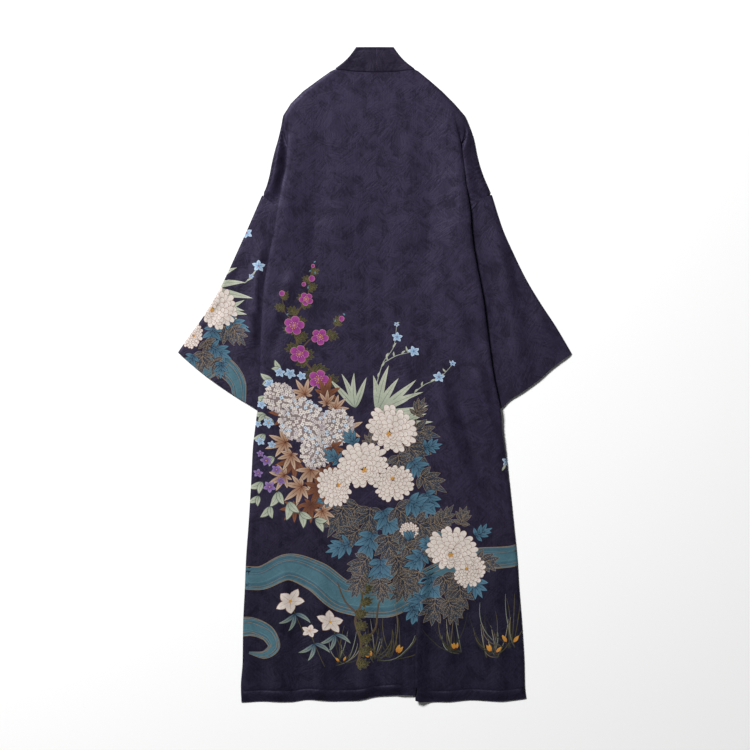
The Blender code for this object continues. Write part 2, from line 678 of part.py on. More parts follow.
def make_sleeve(side):
    """One sleeve: a tube pressed flat, its seam end under the back's shoulder and its cuff open."""
    sign = -1.0 if side == "left" else 1.0
    radius = SLEEVE_PITCH / 2
    rings = []
    for along in np.linspace(0.0, 1.0, SLEEVE_SECTIONS):
        crossing = fold_share(side, along)
        plan_width = np.linalg.norm(np.diff(sleeve_plan(side, np.full(2, along), np.array([0.0, 1.0])), axis=0))
        ramp, raised = (min(width / plan_width, crossing * most) for width, most in ((RAMP, 0.6), (RAISED, 0.2)))
        outside = [share * (crossing - ramp) for share in OUTSIDE_SHARES]
        inside = [crossing + share * (1 - crossing) for share in INSIDE_SHARES]
        across = np.array(outside + [crossing - ramp, crossing - raised] + inside)
        plan = sleeve_plan(side, np.full(len(across), along), across)
        low, high = sleeve_heights(side, plan)
        inward = plan[-1] - plan[0]
        inward = inward / np.linalg.norm(inward)
        plan = plan + inward * radius * (1 - 2 * across[:, None])
        upper = np.column_stack([plan, high])
        lower = np.column_stack([plan, low])
        under_turn = turn_points(plan[-1], inward, low[-1], high[-1], radius)
        outer_turn = turn_points(plan[0], -inward, low[0], high[0], radius)[::-1]
        rings.append(np.concatenate([upper, under_turn, lower[::-1], outer_turn]))
    count = len(rings[0])
    points = np.concatenate(rings)
    faces = []
    for section in range(len(rings) - 1):
        for k in range(count):
            a, b = section * count + k, section * count + (k + 1) % count
            faces.append((a, a + count, b + count, b))
    if sign > 0:
        faces = [tuple(reversed(face)) for face in faces]
    return cloth_wall("sleeve_" + side, points, faces, WALL)


def turn_points(end, outward, low, high, radius):
    """Three points round a flattened edge, from the upper layer to the lower."""
    middle, half = (low + high) / 2, (high - low) / 2
    points = []
    for angle in (45.0, 90.0, 135.0):
        turn = np.radians(angle)
        plan = end + outward * radius * np.sin(turn)
        points.append((plan[0], plan[1], middle + half * np.cos(turn)))
    return np.array(points)


def main():
    clear_scene()
    make_back()
    for side in ("left", "right"):
        make_front(side)
        make_sleeve(side)
        make_collar(side)


main()
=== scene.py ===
"""The laid haori robe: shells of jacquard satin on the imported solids, with a floral print painted into the cloth.

Lengths in the tables are in millimetres in the frame's own axes: the neck points along +Y and +Z is up.
Each cloth is a flat sheet of points that a form function bends into its laid shape.
"""
import math
import random

import bpy
import numpy as np
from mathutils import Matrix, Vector
from mathutils.bvhtree import BVHTree
from mathutils.geometry import delaunay_2d_cdt


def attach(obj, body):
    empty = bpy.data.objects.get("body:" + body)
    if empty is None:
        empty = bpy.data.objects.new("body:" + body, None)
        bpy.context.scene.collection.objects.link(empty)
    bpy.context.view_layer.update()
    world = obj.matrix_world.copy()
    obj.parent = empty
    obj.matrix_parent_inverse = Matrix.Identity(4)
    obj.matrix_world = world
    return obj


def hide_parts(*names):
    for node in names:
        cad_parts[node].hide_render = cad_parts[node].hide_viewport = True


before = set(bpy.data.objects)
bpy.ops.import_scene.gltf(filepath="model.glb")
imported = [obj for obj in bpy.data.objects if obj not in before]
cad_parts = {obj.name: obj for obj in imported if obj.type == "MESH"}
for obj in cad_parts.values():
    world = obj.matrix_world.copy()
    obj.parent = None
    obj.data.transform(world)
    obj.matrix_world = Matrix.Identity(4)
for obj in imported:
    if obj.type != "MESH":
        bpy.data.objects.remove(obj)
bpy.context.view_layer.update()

MM = 0.001
SIGN = {"left": -1.0, "right": 1.0}  # of x on either side of the robe
UP, DOWN, RIM = 0.45, 0.35, 0.35  # a shell's outer and inner face from its middle, and the bulge of its rim

# The same laid form as the solids.
COLLAR_TOP_Y = 573.0
CENTRE_SEAM_X = 2.0
COLLAR_RUN_X = (32.5, 77.0)
COLLAR_FOLD_LOW = (68.5, 535.0)
COLLAR_STRAIGHT_Y = 505.0
FRONT_HEM_Y = -557.0
HEM_Y = -572.5
SLEEVE_OVER_FRONT = 1.3
SLEEVE_OVER_COLLAR = 0.7
SLEEVE_PITCH = 1.8
SLEEVE_FULL = 1.5
SLEEVE_PUFF = 5.5
SLEEVE_RISES = {"left": 15.0, "right": 36.0}
# The strip's height above the sleeve and over it, and where it changes.
TUCK_Z, OVER_SLEEVE = (2.6, 5.0), (-318.0, 40.0)
TUCK_TURN = 1.0
TUCK_SLANT = 0.4
TUCK_TOP_Y = 452.0
TUCK_OPENS = 66.0
TUCK_END_Y = -66.0
SHOULDER_Z = 1.9
NECK_Z = 2.7
SIDE_Z = 1.4
HEM_SETTLED, HEM_SINKS, HEM_SINKS_OVER = 1.0, 0.8, 14.0  # the hem's height, and how far up the cloth sinks to it
HEM_BESIDE_PLEAT = (16.0, 20.0)
HEM_STITCH, HEM_STITCH_DEPTH, HEM_STITCH_WIDTH = 19.0, 0.55, 1.8
ROLL_WIDTH = 3.5
TUCK_HOLDS = 0.8
TUCK_SLOPE = 66.0
SIDE_ROLL = 8.0
STRIP_CLEAR = 0.7
STRIP_STUB = 4.0
STRIP_CREST = {"left": 7.0, "right": 1.0}
STRIP_BANK = {"left": 0.0, "right": 6.0}  # cloth that comes up out of a tuck and falls away from it
STRIP_LOW = 1.2  # how far the strip sinks beside a tuck
# Where the strip's rises and falls start, and over what length they go on.
STRIP_HOLLOW = (0.5, 16.5)
CREST_NEEDS, BANK_NEEDS = (2.0, 22.0), (2.0, 16.0)  # widths of the strip
BANK_RISES, BANK_FALLS = (-4.0, 6.0), (3.0, 18.0)
STRIP_FROM_Y, STRIP_BELOW_TOP = (292.0, 50.0), (8.0, 40.0)
EDGE_SOFT = {"left": 9.0, "right": 5.0}
EDGE_LIFT = {"left": 1.0, "right": 1.3}  # the back's sides stand higher over the tucks than the solid's
SEAM_Z = 2.9
SEAM_FALL = 6.5
SEAM_SHOWN = 0.11
RAMP = 16.0
RAISED = 4.0

SIDE_TABLE = np.array([
    # y, left_x, right_x, tuck_depth, lift
    (470, -146, 136, 0, 1.2),
    (452, -148, 139, 0, 2.0),
    (432, -150, 143, 2, 2.8),
    (408, -152, 149, 5, 3.4),
    (384, -154, 153, 8, 3.6),
    (360, -156, 156, 11, 3.8),
    (340, -161, 158, 13, 4.2),
    (320, -165, 161, 14, 4.8),
    (288, -171, 166, 16, 5.2),
    (246, -177, 169, 24, 5.2),
    (200, -186, 176, 36, 5.2),
    (138, -195, 188, 50, 5.2),
    (64, -199, 198, 46, 5.2),
    (5, -201, 206, 30, 4.8),
    (-60, -205, 219, 9, 3.6),
    (-128, -213, 228, 6, 1.2),
    (-188, -216, 235, 6, 0.3),
    (-254, -220, 242, 6, 0.0),
    (-324, -225, 249, 6, 0.0),
    (-373, -227, 252, 6, 0.0),
    (-436, -230, 257, 6, 0.0),
    (-503, -231, 261, 6, 0.0),
    (-545, -234, 262, 6, 0.0),
    (-575, -233, 266, 6, 0.0),
])
MIDDLE_TABLE = np.array([
    # y, height of the back's wall in the middle, and how much more where a sleeve is under it
    (540, 4.0, 0.0), (515, 4.3, 0.0), (460, 4.6, 0.0), (320, 4.8, 0.2), (250, 4.8, 1.0), (100, 4.8, 1.0),
    (-60, 4.8, 1.0), (-130, 4.6, 0.4), (-200, 4.2, 0.0), (-400, 3.5, 0.0), (-575, 3.3, 0.0),
])
SHOULDER_LEFT = np.array([
    (-69, 534), (-77, 530.5), (-99, 515), (-126, 495), (-147, 474), (-160, 453), (-164, 432), (-169, 411),
    (-175, 390), (-180, 369), (-184, 348), (-190, 327), (-196, 314),
])
SHOULDER_RIGHT = np.array([
    (69, 534), (76, 530.5), (95, 515), (118, 495), (139, 474), (157, 453), (166, 432), (173, 411),
    (177, 390), (182, 369), (189, 348), (198, 327), (203, 315),
])
SHOULDERS = {"left": SHOULDER_LEFT, "right": SHOULDER_RIGHT}
NECK_SEAM = np.array([
    (-69, 534), (-52, 531.5), (-33, 529), (2, 528), (37, 529), (56, 531.5), (69, 534),
])
HEM_TABLE = np.array([
    (-234, -573), (-218, -572), (-197, -571), (-148, -572), (-115, -568), (-70, -571), (-35, -570), (4, -563),
    (51, -560), (70, -561), (76, -565), (81, -569), (90, -572), (123, -572), (168, -569), (219, -571),
    (245, -569), (267, -566),
])
SLEEVE_TABLES = {
    "left": {
        "outer": [(-197, 313.5), (-217, 267), (-237, 222), (-258, 176), (-273, 146), (-300, 101), (-323, 69),
                  (-344, 39)],
        "cuff": [(-344, 39), (-303, 4), (-273, -18), (-243, -38), (-207, -60), (-166, -86)],
        "armhole": [(-197, 313.5), (-183, 302), (-171, 290.5), (-104, 228), (-36, 166)],
    },
    "right": {
        "outer": [(204, 314.5), (223, 255), (242, 212), (263, 169), (290, 124), (317, 83), (344, 37)],
        "cuff": [(344, 37), (309, 11), (288, -8), (258, -30), (239, -42), (221, -59), (181, -88)],
        "armhole": [(204, 314.5), (188, 309), (172, 290.5), (105, 228), (39, 166)],
    },
}
PLEAT_X = 71.0
PLEAT_FLAT = (52.0, 100.0)
PLEAT_TOP_Y = -250.0
PLEAT_FULL_Y = -500.0
PLEAT_LAP = 13.0
PLEAT_LOW_Z = 3.4
PLEAT_TURN = 1.2
PLEAT_ROLL = 3.0
PLEAT_ROLL_HEIGHT = 1.5
PLEAT_SLANT = 0.6
BACK_FOLDS = [
    # half width, height (negative in a trough), and the line that the fold follows
    (11, 1.3, [(-136, 190), (-160, 140), (-188, 72)]),
    (10, -1.1, [(-146, 120), (-166, 70), (-186, 24)]),
    (10, -0.8, [(-108, 310), (-109, 250), (-106, 196)]),
    (14, -1.9, [(108, 250), (138, 166), (162, 108), (180, 55), (194, 0)]),
    (12, 2.8, [(168, 50), (190, -40), (208, -110), (228, -196)]),
    (13, 3.0, [(98, 34), (116, -40), (134, -110), (165, -195), (192, -270)]),
    (12, -2.0, [(132, 20), (152, -60), (178, -150), (204, -220)]),
    (13, 2.0, [(44, 60), (62, -44), (68, -114), (78, -178), (108, -240)]),
    (14, 2.2, [(-158, -300), (-163, -430), (-170, -575)]),
    (12, -1.0, [(-128, -330), (-130, -450), (-134, -575)]),
    (14, 2.0, [(-94, -290), (-95, -430), (-97, -575)]),
    (12, -0.9, [(-54, -340), (-54, -460), (-55, -575)]),
    (15, 2.8, [(-20, -270), (-18, -420), (-18, -575)]),
    (15, 1.8, [(122, -280), (126, -430), (132, -575)]),
    (13, -1.0, [(164, -330), (168, -450), (174, -575)]),
    (15, 1.9, [(208, -270), (214, -420), (222, -575)]),
    (12, -0.8, [(-200, -340), (-204, -460), (-207, -575)]),
    (24, 1.0, [(-28, -60), (-24, -200), (-22, -330)]),
    (22, 1.2, [(-98, 60), (-104, -80), (-112, -230)]),
    (26, 0.9, [(58, 440), (64, 320), (70, 200)]),
    (13, 1.0, [(138, 400), (148, 330), (158, 260), (168, 190), (180, 120), (194, 50)]),
    (12, 0.6, [(-146, 380), (-152, 320), (-162, 250), (-172, 190)]),
    (18, 4.0, [(24, -270), (31, -420), (32, -575)]),
    (26, 0.8, [(-54, 450), (-60, 320), (-72, 180)]),
]
FOLDS_FULL = 1.5
SLEEVE_FOLDS = {
    "left": [
        (13, 2.8, [(-192, 268), (-206, 150), (-222, 10)]),
        (10, -1.3, [(-232, 204), (-268, 120), (-314, 46)]),
        (10, -0.9, [(-236, 170), (-250, 70), (-262, -10)]),
        (12, 1.1, [(-262, 120), (-290, 74), (-322, 34)]),
    ],
    "right": [
        (11, -1.5, [(218, 256), (236, 205), (262, 146), (292, 84)]),
        (14, 2.4, [(208, 284), (226, 200), (246, 90), (262, -20)]),
        (12, 1.5, [(256, 150), (290, 84), (322, 36)]),
        (10, -0.8, [(240, 190), (250, 90), (262, 0)]),
    ],
}


def smooth_step(value):
    share = np.clip(value, 0.0, 1.0)
    return share * share * (3.0 - 2.0 * share)


def quarter_round(value):
    share = np.clip(value, 0.0, 1.0)
    return np.sqrt(1.0 - (1.0 - share) ** 2)


def ramp_up(value, bounds):
    """0 up to the first of the bounds, then smoothly up to 1 over the length that the second one gives."""
    return smooth_step((value - bounds[0]) / bounds[1])

def unit(vectors):
    return vectors / np.maximum(np.linalg.norm(vectors, axis=-1, keepdims=True), 1e-12)

def as_pairs(points):
    return [(float(a), float(b)) for a, b in points]

def smooth_curve(known_x, known_y, wanted):
    """A curve through the points that doesn't overshoot them."""
    order = np.argsort(known_x)
    x, y = np.asarray(known_x, float)[order], np.asarray(known_y, float)[order]
    wanted = np.clip(wanted, x[0], x[-1])
    step, rise = np.diff(x), np.diff(y)
    slope = rise / step
    same_way = slope[:-1] * slope[1:] > 0
    inner = np.where(same_way, 2 * slope[:-1] * slope[1:] / np.where(same_way, slope[:-1] + slope[1:], 1.0), 0.0)
    tangent = np.concatenate([[slope[0]], inner, [slope[-1]]])
    k = np.clip(np.searchsorted(x, wanted) - 1, 0, len(step) - 1)
    t = (wanted - x[k]) / step[k]
    return (
        y[k] * (1 + 2 * t) * (1 - t) ** 2
        + tangent[k] * step[k] * t * (1 - t) ** 2
        + y[k + 1] * t * t * (3 - 2 * t)
        + tangent[k + 1] * step[k] * t * t * (t - 1)
    )


def along_line(points, shares):
    points = np.asarray(points, float)
    length = np.concatenate([[0.0], np.cumsum(np.linalg.norm(np.diff(points, axis=0), axis=1))])
    at = np.asarray(shares, float) * length[-1]
    return np.stack([smooth_curve(length, points[:, k], at) for k in range(2)], axis=-1)


def from_run(x, y, start, end):
    """How far points are from a straight run, and how far along it their nearest point is."""
    dx, dy = end[0] - start[0], end[1] - start[1]
    length = math.hypot(dx, dy)
    share = np.clip(((x - start[0]) * dx + (y - start[1]) * dy) / length ** 2, 0.0, 1.0)
    return np.hypot(x - start[0] - share * dx, y - start[1] - share * dy), share * length

def distance_to_line(x, y, line):
    best = np.full(np.shape(x), np.inf)
    for start, end in zip(line[:-1], line[1:]):
        best = np.minimum(best, from_run(x, y, start, end)[0])
    return best


def folds_height(x, y, folds):
    """The height that soft folds add. A fold fades out at both ends, unless it runs to the hem."""
    height = np.zeros(np.shape(x))
    for half_width, rise, line in folds:
        near, at, before = np.full(np.shape(x), np.inf), np.zeros(np.shape(x)), 0.0
        for start, end in zip(line[:-1], line[1:]):
            away, along = from_run(x, y, start, end)
            at = np.where(away < near, before + along, at)
            near = np.minimum(near, away)
            before += math.dist(start, end)
        ends = smooth_step(at / before / 0.3)
        if line[-1][1] > HEM_Y:
            ends = ends * smooth_step((1.0 - at / before) / 0.3)
        uneven = 1.0 + 0.22 * np.sin(at / 37.0 + line[0][0])
        height = height + FOLDS_FULL * rise * uneven * np.exp(-((near / half_width) ** 2)) * ends
    return height


def column(table, which, y):
    return smooth_curve(table[:, 0], table[:, which], y)


def side_x(side, y):
    return column(SIDE_TABLE, 1 if side == "left" else 2, y)


def hem_y(x):
    return smooth_curve(HEM_TABLE[:, 0], HEM_TABLE[:, 1], x)

def back_height(x, y):
    """Height of the middle of the back's cloth, away from its rolled edges."""
    over_sleeve = column(MIDDLE_TABLE, 2, y) * smooth_step((np.abs(x) - 14.0) / 20.0)
    held = column(SIDE_TABLE, 3, y) * TUCK_HOLDS
    left = (x - side_x("left", y) - held) / TUCK_SLOPE
    right = (side_x("right", y) - x - held) / TUCK_SLOPE
    raised = EDGE_LIFT["left"] * (1.0 - smooth_step(left)) + EDGE_LIFT["right"] * (1.0 - smooth_step(right))
    raised = raised * column(SIDE_TABLE, 4, y)
    folds = folds_height(x, y, BACK_FOLDS) * smooth_step((528.0 - y) / 60.0)
    height = column(MIDDLE_TABLE, 1, y) + over_sleeve + raised + folds
    above_hem = y - hem_y(x)
    beside_pleat = ramp_up(np.abs(x - PLEAT_X), HEM_BESIDE_PLEAT)
    settled = smooth_step(1.0 - above_hem / HEM_SINKS_OVER) * beside_pleat
    stitched = HEM_STITCH_DEPTH * np.exp(-(((above_hem - HEM_STITCH) / HEM_STITCH_WIDTH) ** 2)) * beside_pleat
    return edge_roll(x, y, height - (height - HEM_SETTLED) * HEM_SINKS * settled - stitched)


def shoulder_curve(side):
    """The shoulder's outline from the neck down, with close points."""
    table = SHOULDERS[side]
    y = np.concatenate([np.arange(table[0, 1], table[4, 1], -4.0), np.arange(table[4, 1], table[-1, 1] - 0.5, -2.0)])
    low = smooth_curve(table[4:, 1], table[4:, 0], y)
    high = np.interp(y, table[::-1, 1], table[::-1, 0])
    return np.column_stack([np.where(y < table[4, 1], low, high), y])


SHOULDER_CURVES = shoulder_curve("left"), shoulder_curve("right")


def edge_roll(x, y, full):
    x, y, full = np.broadcast_arrays(x, y, full)
    away = np.full(y.shape, 2 * SIDE_ROLL)
    near = y > SHOULDER_LEFT[-1, 1] - SIDE_ROLL
    if near.any():
        away[near] = np.minimum(*(distance_to_line(x[near], y[near], line) for line in SHOULDER_CURVES))
    edge = NECK_Z + (SHOULDER_Z - NECK_Z) * smooth_step((np.abs(x) - 84.0) / 12.0)
    return edge + (full - edge) * quarter_round(away / SIDE_ROLL)


def tuck_z(y):
    return TUCK_Z[0] + (TUCK_Z[1] - TUCK_Z[0]) * ramp_up(-y, OVER_SLEEVE)


def armhole_curve(side, reach=1.0):
    return along_line(SLEEVE_TABLES[side]["armhole"], np.linspace(0.0, reach, 41))


def seam_shown(side):
    """The part of the sleeve's seam that shows."""
    return armhole_curve(side, SEAM_SHOWN)[::8]

def strip_end(side, y):
    """How far out the strip beside a tuck reaches: to the shoulder's outline, the sleeve seam, or inside the tuck."""
    sign = SIGN[side]
    shoulder = SHOULDERS[side]
    armhole = armhole_curve(side)[::-1]
    outline = smooth_curve(shoulder[4:, 1], shoulder[4:, 0], y) * sign
    seam = np.interp(y, armhole[:, 1], armhole[:, 0]) * sign - STRIP_CLEAR
    inside = side_x(side, y) * sign - column(SIDE_TABLE, 3, y) + STRIP_STUB
    outer = np.where(y > armhole[-1, 1], outline, np.minimum(outline, seam))
    return np.maximum(outer, inside)


# The back's flat sheet: u runs from -250 at the left rolled edge to 250 at the right one, and on past them for
# the cloth inside each tuck; v is the robe's y.
HALF = 250.0
ROLL_SHARE, RETURN_SHARE, TURN_SHARE = 0.2, 0.45, 0.65


def sheet_margin(side, y):
    """How much of the flat sheet's width the cloth beyond a rolled edge takes up."""
    sign = SIGN[side]
    shown = strip_end(side, y) - side_x(side, y) * sign
    return np.maximum(shown, 4.0) + 20.0 * smooth_step((TUCK_TOP_Y - y) / 60.0)


def to_sheet(x, y):
    left, right = side_x("left", y), side_x("right", y)
    inside = (x - left) / (right - left) * 2 * HALF - HALF
    return np.where(x < left, -HALF - (left - x), np.where(x > right, HALF + (x - right), inside))


def from_sheet(u, y):
    left, right = side_x("left", y), side_x("right", y)
    inside = left + (u + HALF) / (2 * HALF) * (right - left)
    return np.where(u < -HALF, left + (u + HALF), np.where(u > HALF, right + (u - HALF), inside))


def pleat_form(p, y):
    """x and z across the big hem pleat. Down from its top it first rises as a ridge, and then laps over."""
    down = (PLEAT_TOP_Y - y) / (PLEAT_TOP_Y - PLEAT_FULL_Y)
    rise, lap = smooth_step(down / 0.5), smooth_step((down - 0.35) / 0.65)
    start, end = PLEAT_FLAT
    turn, roll = PLEAT_X + PLEAT_LAP - PLEAT_TURN, PLEAT_X + PLEAT_ROLL
    middle_z = PLEAT_LOW_Z + 2 * PLEAT_TURN
    top = middle_z + PLEAT_SLANT + 2 * PLEAT_ROLL_HEIGHT
    parts = np.array([turn - start, np.pi * PLEAT_TURN, turn - roll, np.pi * PLEAT_ROLL * 0.9, end - roll])
    ends = np.cumsum(parts)
    at = np.clip((p - start) / (end - start), 0.0, 1.0) * ends[-1]
    stage = np.clip(np.searchsorted(ends, at), 0, 4)
    share = (at - (ends - parts)[stage]) / parts[stage]
    angle = np.pi * share
    low_z, high_z = back_height(np.full_like(p, start), y), back_height(np.full_like(p, end), y)
    x = np.choose(stage, [
        start + (turn - start) * share,
        turn + PLEAT_TURN * np.sin(angle),
        turn + (roll - turn) * share,
        roll - PLEAT_ROLL * np.sin(angle),
        roll + (end - roll) * share,
    ])
    z = np.choose(stage, [
        low_z + (PLEAT_LOW_Z - low_z) * smooth_step(share),
        PLEAT_LOW_Z + PLEAT_TURN * (1 - np.cos(angle)),
        middle_z + PLEAT_SLANT * share,
        middle_z + PLEAT_SLANT + PLEAT_ROLL_HEIGHT * (1 - np.cos(angle)),
        top + (high_z - top) * smooth_step(share),
    ])
    flat_z = back_height(p, y)
    return p + (x - p) * lap, flat_z + (z - flat_z) * rise


def tuck_form(side, q, y):
    """x and z of the cloth beyond a rolled edge: round under, back in, round again and out to the strip's end."""
    sign = SIGN[side]
    edge, depth = side_x(side, y) * sign, column(SIDE_TABLE, 3, y)
    outer, strip_z = strip_end(side, y), tuck_z(y)
    down = (TUCK_TOP_Y - y) / TUCK_OPENS
    rise, lap = smooth_step(down / 0.5), smooth_step((down - 0.3) / 0.7)
    top = back_height(sign * (edge - ROLL_WIDTH), y)
    roll_height = (top - strip_z - 2 * TUCK_TURN - TUCK_SLANT) / 2
    turn = edge - depth + TUCK_TURN
    share = np.clip(q / sheet_margin(side, y), 0.0, 1.0)
    bounds = (0.0, ROLL_SHARE, RETURN_SHARE, TURN_SHARE, 1.0)
    stage = np.clip(np.searchsorted(bounds, share) - 1, 0, 3)
    inner = (share - np.array(bounds)[stage]) / np.diff(bounds)[stage]
    bend = np.where(stage == 0, np.pi / 2 * (1 - inner), np.pi * (1 - inner))
    x = np.choose(stage, [
        edge - ROLL_WIDTH + ROLL_WIDTH * np.sin(bend),
        edge - ROLL_WIDTH + (turn - edge + ROLL_WIDTH) * inner,
        turn - TUCK_TURN * np.sin(bend),
        turn + (outer - turn) * inner,
    ])
    crest = ramp_up(x - edge, STRIP_HOLLOW) * ramp_up(outer - edge, CREST_NEEDS)
    bank = ramp_up(x - edge, BANK_RISES) * (1.0 - ramp_up(x - edge, BANK_FALLS)) * ramp_up(outer - edge, BANK_NEEDS)
    hump = (STRIP_CREST[side] + STRIP_LOW) * crest - STRIP_LOW + STRIP_BANK[side] * bank
    hump = hump * ramp_up(y, STRIP_FROM_Y) * ramp_up(TUCK_TOP_Y - y, STRIP_BELOW_TOP)
    strip = edge_roll(sign * x, y, strip_z + hump)
    near = smooth_step(distance_to_line(sign * x, y, seam_shown(side)) / SEAM_FALL)
    z = np.choose(stage, [
        top - roll_height * (1 + np.cos(bend)),
        strip_z + 2 * TUCK_TURN + TUCK_SLANT * (1 - inner),
        strip_z + TUCK_TURN * (1 - np.cos(bend)),
        SEAM_Z + (strip - SEAM_Z) * near,
    ])
    flat_x = edge + q * (outer - edge) / sheet_margin(side, y)
    flat_z = back_height(sign * flat_x, y)
    return sign * (flat_x + (x - flat_x) * lap), flat_z + (z - flat_z) * rise


def back_form(points):
    """Where the back's flat sheet lies: x, y, z of the middle of the cloth."""
    u, y = points[:, 0], points[:, 1]
    p = from_sheet(u, y)
    x, z = p.copy(), back_height(p, y)
    rise = smooth_step((TUCK_TOP_Y - y) / TUCK_OPENS / 0.5)
    settle = smooth_step((TUCK_END_Y - y) / 34.0)
    for side, sign in SIGN.items():
        width = EDGE_SOFT[side] + (SIDE_ROLL - EDGE_SOFT[side]) * settle
        edge = side_x(side, y) * sign
        inside = edge - sign * p
        top = back_height(sign * (edge - width), y)
        low = (top + tuck_z(y) + TUCK_SLANT) / 2 + TUCK_TURN
        low = low + (SIDE_Z - low) * settle
        rolled = low + (top - low) * quarter_round(inside / width)
        on_roll = (inside < width) & (y < TUCK_TOP_Y)
        z = np.where(on_roll, z + (rolled - z) * rise, z)
        beyond = (sign * u > HALF) & (y < TUCK_TOP_Y) & (y > TUCK_END_Y - 1.0)
        if beyond.any():
            x[beyond], z[beyond] = tuck_form(side, sign * u[beyond] - HALF, y[beyond])
    pleat = (p > PLEAT_FLAT[0]) & (p < PLEAT_FLAT[1]) & (y < PLEAT_TOP_Y)
    if pleat.any():
        x[pleat], z[pleat] = pleat_form(p[pleat], y[pleat])
    return np.column_stack([x, y, z])


def sleeve_lines(side):
    """A sleeve's rolled outer edge, and its edge that is hidden under the back."""
    table = SLEEVE_TABLES[side]
    return along_line(table["outer"], np.linspace(0.0, 1.0, 49)), [table["armhole"][-1], table["cuff"][-1]]

def outside_fold(side, points):
    sign = SIGN[side]
    return sign * points[:, 0] - sign * side_x(side, points[:, 1])


def sleeve_form(side, upper):
    """The form of a sleeve's upper or lower layer, over its own plan."""
    outer, under = sleeve_lines(side)
    armhole = seam_shown(side)

    def form(points):
        x, y = points[:, 0], points[:, 1]
        out = outside_fold(side, points)
        edge = distance_to_line(x, y, outer)
        over_front = SLEEVE_OVER_FRONT * smooth_step((RAMP - out) / (RAMP - RAISED))
        over_collar = SLEEVE_OVER_COLLAR * smooth_step((126.0 - np.abs(x)) / 36.0)
        low = 0.5 + over_front + over_collar
        shown = smooth_step((out - 1.0) / SLEEVE_RISES[side]) * quarter_round(edge / 16.0)
        shown = shown * (0.35 + 0.65 * smooth_step(distance_to_line(x, y, armhole) / 22.0))
        puff = (SLEEVE_FULL + folds_height(x, y, SLEEVE_FOLDS[side])) * shown
        high = low + SLEEVE_PITCH + np.clip(puff, -0.2, SLEEVE_PUFF)
        middle = low + SLEEVE_PITCH / 2
        near = quarter_round(np.minimum(edge, distance_to_line(x, y, under)) / 4.0)
        z = middle + ((high if upper else low) - middle) * near
        return np.column_stack([x, y, z])

    return form


# Meshes from flat sheets.

def cut(outline, points, shapes=(), lines=()):
    """Triangles of a flat outline through points and lines, each with the number of the shape on top of it."""
    corners, faces = [], []
    for ring in [outline] + [shape["points"] for shape in shapes]:
        faces.append(list(range(len(corners), len(corners) + len(ring))))
        corners += [Vector((float(x), float(y))) for x, y in ring]
    first = len(corners)
    edges = []
    if len(lines):
        ends, pairs = lines
        corners += [Vector((float(x), float(y))) for x, y in ends]
        edges = [(int(a) + first, int(b) + first) for a, b in pairs]
    corners += [Vector((float(x), float(y))) for x, y in points]
    found, _, triangles, _, _, owners = delaunay_2d_cdt(corners, edges, faces, 0, 1e-4, True)
    kept = [(tri, max(own)) for tri, own in zip(triangles, owners) if own and 0 in own]
    tris, top = np.array([tri for tri, _ in kept]), np.array([owner for _, owner in kept])
    used, tris = np.unique(tris, return_inverse=True)
    tris = tris.reshape(-1, 3)
    flat = np.array([found[corner][:] for corner in used])
    a, b, c = flat[tris[:, 0]], flat[tris[:, 1]], flat[tris[:, 2]]
    turned = (b[:, 0] - a[:, 0]) * (c[:, 1] - a[:, 1]) - (b[:, 1] - a[:, 1]) * (c[:, 0] - a[:, 0]) < 0
    tris[turned] = tris[turned][:, ::-1]
    return flat, tris, top


def triangulate(outline, points, shapes=()):
    """As cut, but of all the shapes only the borders that show."""
    if not len(shapes):
        return cut(outline, points)
    flat, tris, top = cut(outline, (), shapes)
    size = len(flat)
    starts, ends = tris.ravel(), np.roll(tris, -1, axis=1).ravel()
    owner = np.repeat(top, 3)
    forward, backward = starts * size + ends, ends * size + starts
    order = np.argsort(forward)
    at = np.clip(np.searchsorted(forward[order], backward), 0, len(order) - 1)
    paired = forward[order][at] == backward
    shown = paired & (owner != owner[order][at]) & (starts < ends)
    lines = straighten(flat, list(zip(starts[shown].tolist(), ends[shown].tolist())))
    new_flat, new_tris, _ = cut(outline, points, (), lines)
    tree = BVHTree.FromPolygons([(x, y, 0.0) for x, y in flat.tolist()], tris.tolist())
    centres = new_flat[new_tris].mean(axis=1).tolist()
    hits = [tree.ray_cast((x, y, 1.0), (0.0, 0.0, -1.0))[2] for x, y in centres]
    new_top = np.array([0 if hit is None else top[hit] for hit in hits])
    return new_flat, new_tris, new_top


def straighten(flat, pairs, slack=0.07):
    """Leaves out points of lines that are within slack, in millimetres, of a straight run."""
    beside = {}
    for a, b in pairs:
        beside.setdefault(a, []).append(b)
        beside.setdefault(b, []).append(a)
    done, kept = set(), []

    def follow(start, following):
        chain = [start, following]
        while len(beside[chain[-1]]) == 2 and chain[-1] != start:
            a, b = beside[chain[-1]]
            chain.append(b if a == chain[-2] else a)
        return chain

    def keep(chain):
        stack = [(0, len(chain) - 1)]
        points = flat[chain]
        while stack:
            low, high = stack.pop()
            if high - low > 1:
                run = points[high] - points[low]
                away = points[low + 1:high] - points[low]
                length = math.hypot(*run)
                aside = np.abs(run[0] * away[:, 1] - run[1] * away[:, 0])
                off = np.hypot(*away.T) if length < slack else aside / length
                far = int(np.argmax(off))
                if off[far] > slack:
                    stack += [(low, low + 1 + far), (low + 1 + far, high)]
                    continue
            if chain[low] != chain[high]:
                kept.append((chain[low], chain[high]))

    def walk(starts):
        for start in starts:
            for following in beside[start]:
                if (start, following) not in done:
                    chain = follow(start, following)
                    done.update(zip(chain[:-1], chain[1:]))
                    done.update(zip(chain[1:], chain[:-1]))
                    keep(chain)

    walk([corner for corner in beside if len(beside[corner]) != 2])
    walk([corner for corner in beside if len(beside[corner]) == 2])
    used, numbered = np.unique(np.array(kept), return_inverse=True)
    return flat[used], numbered.reshape(-1, 2)


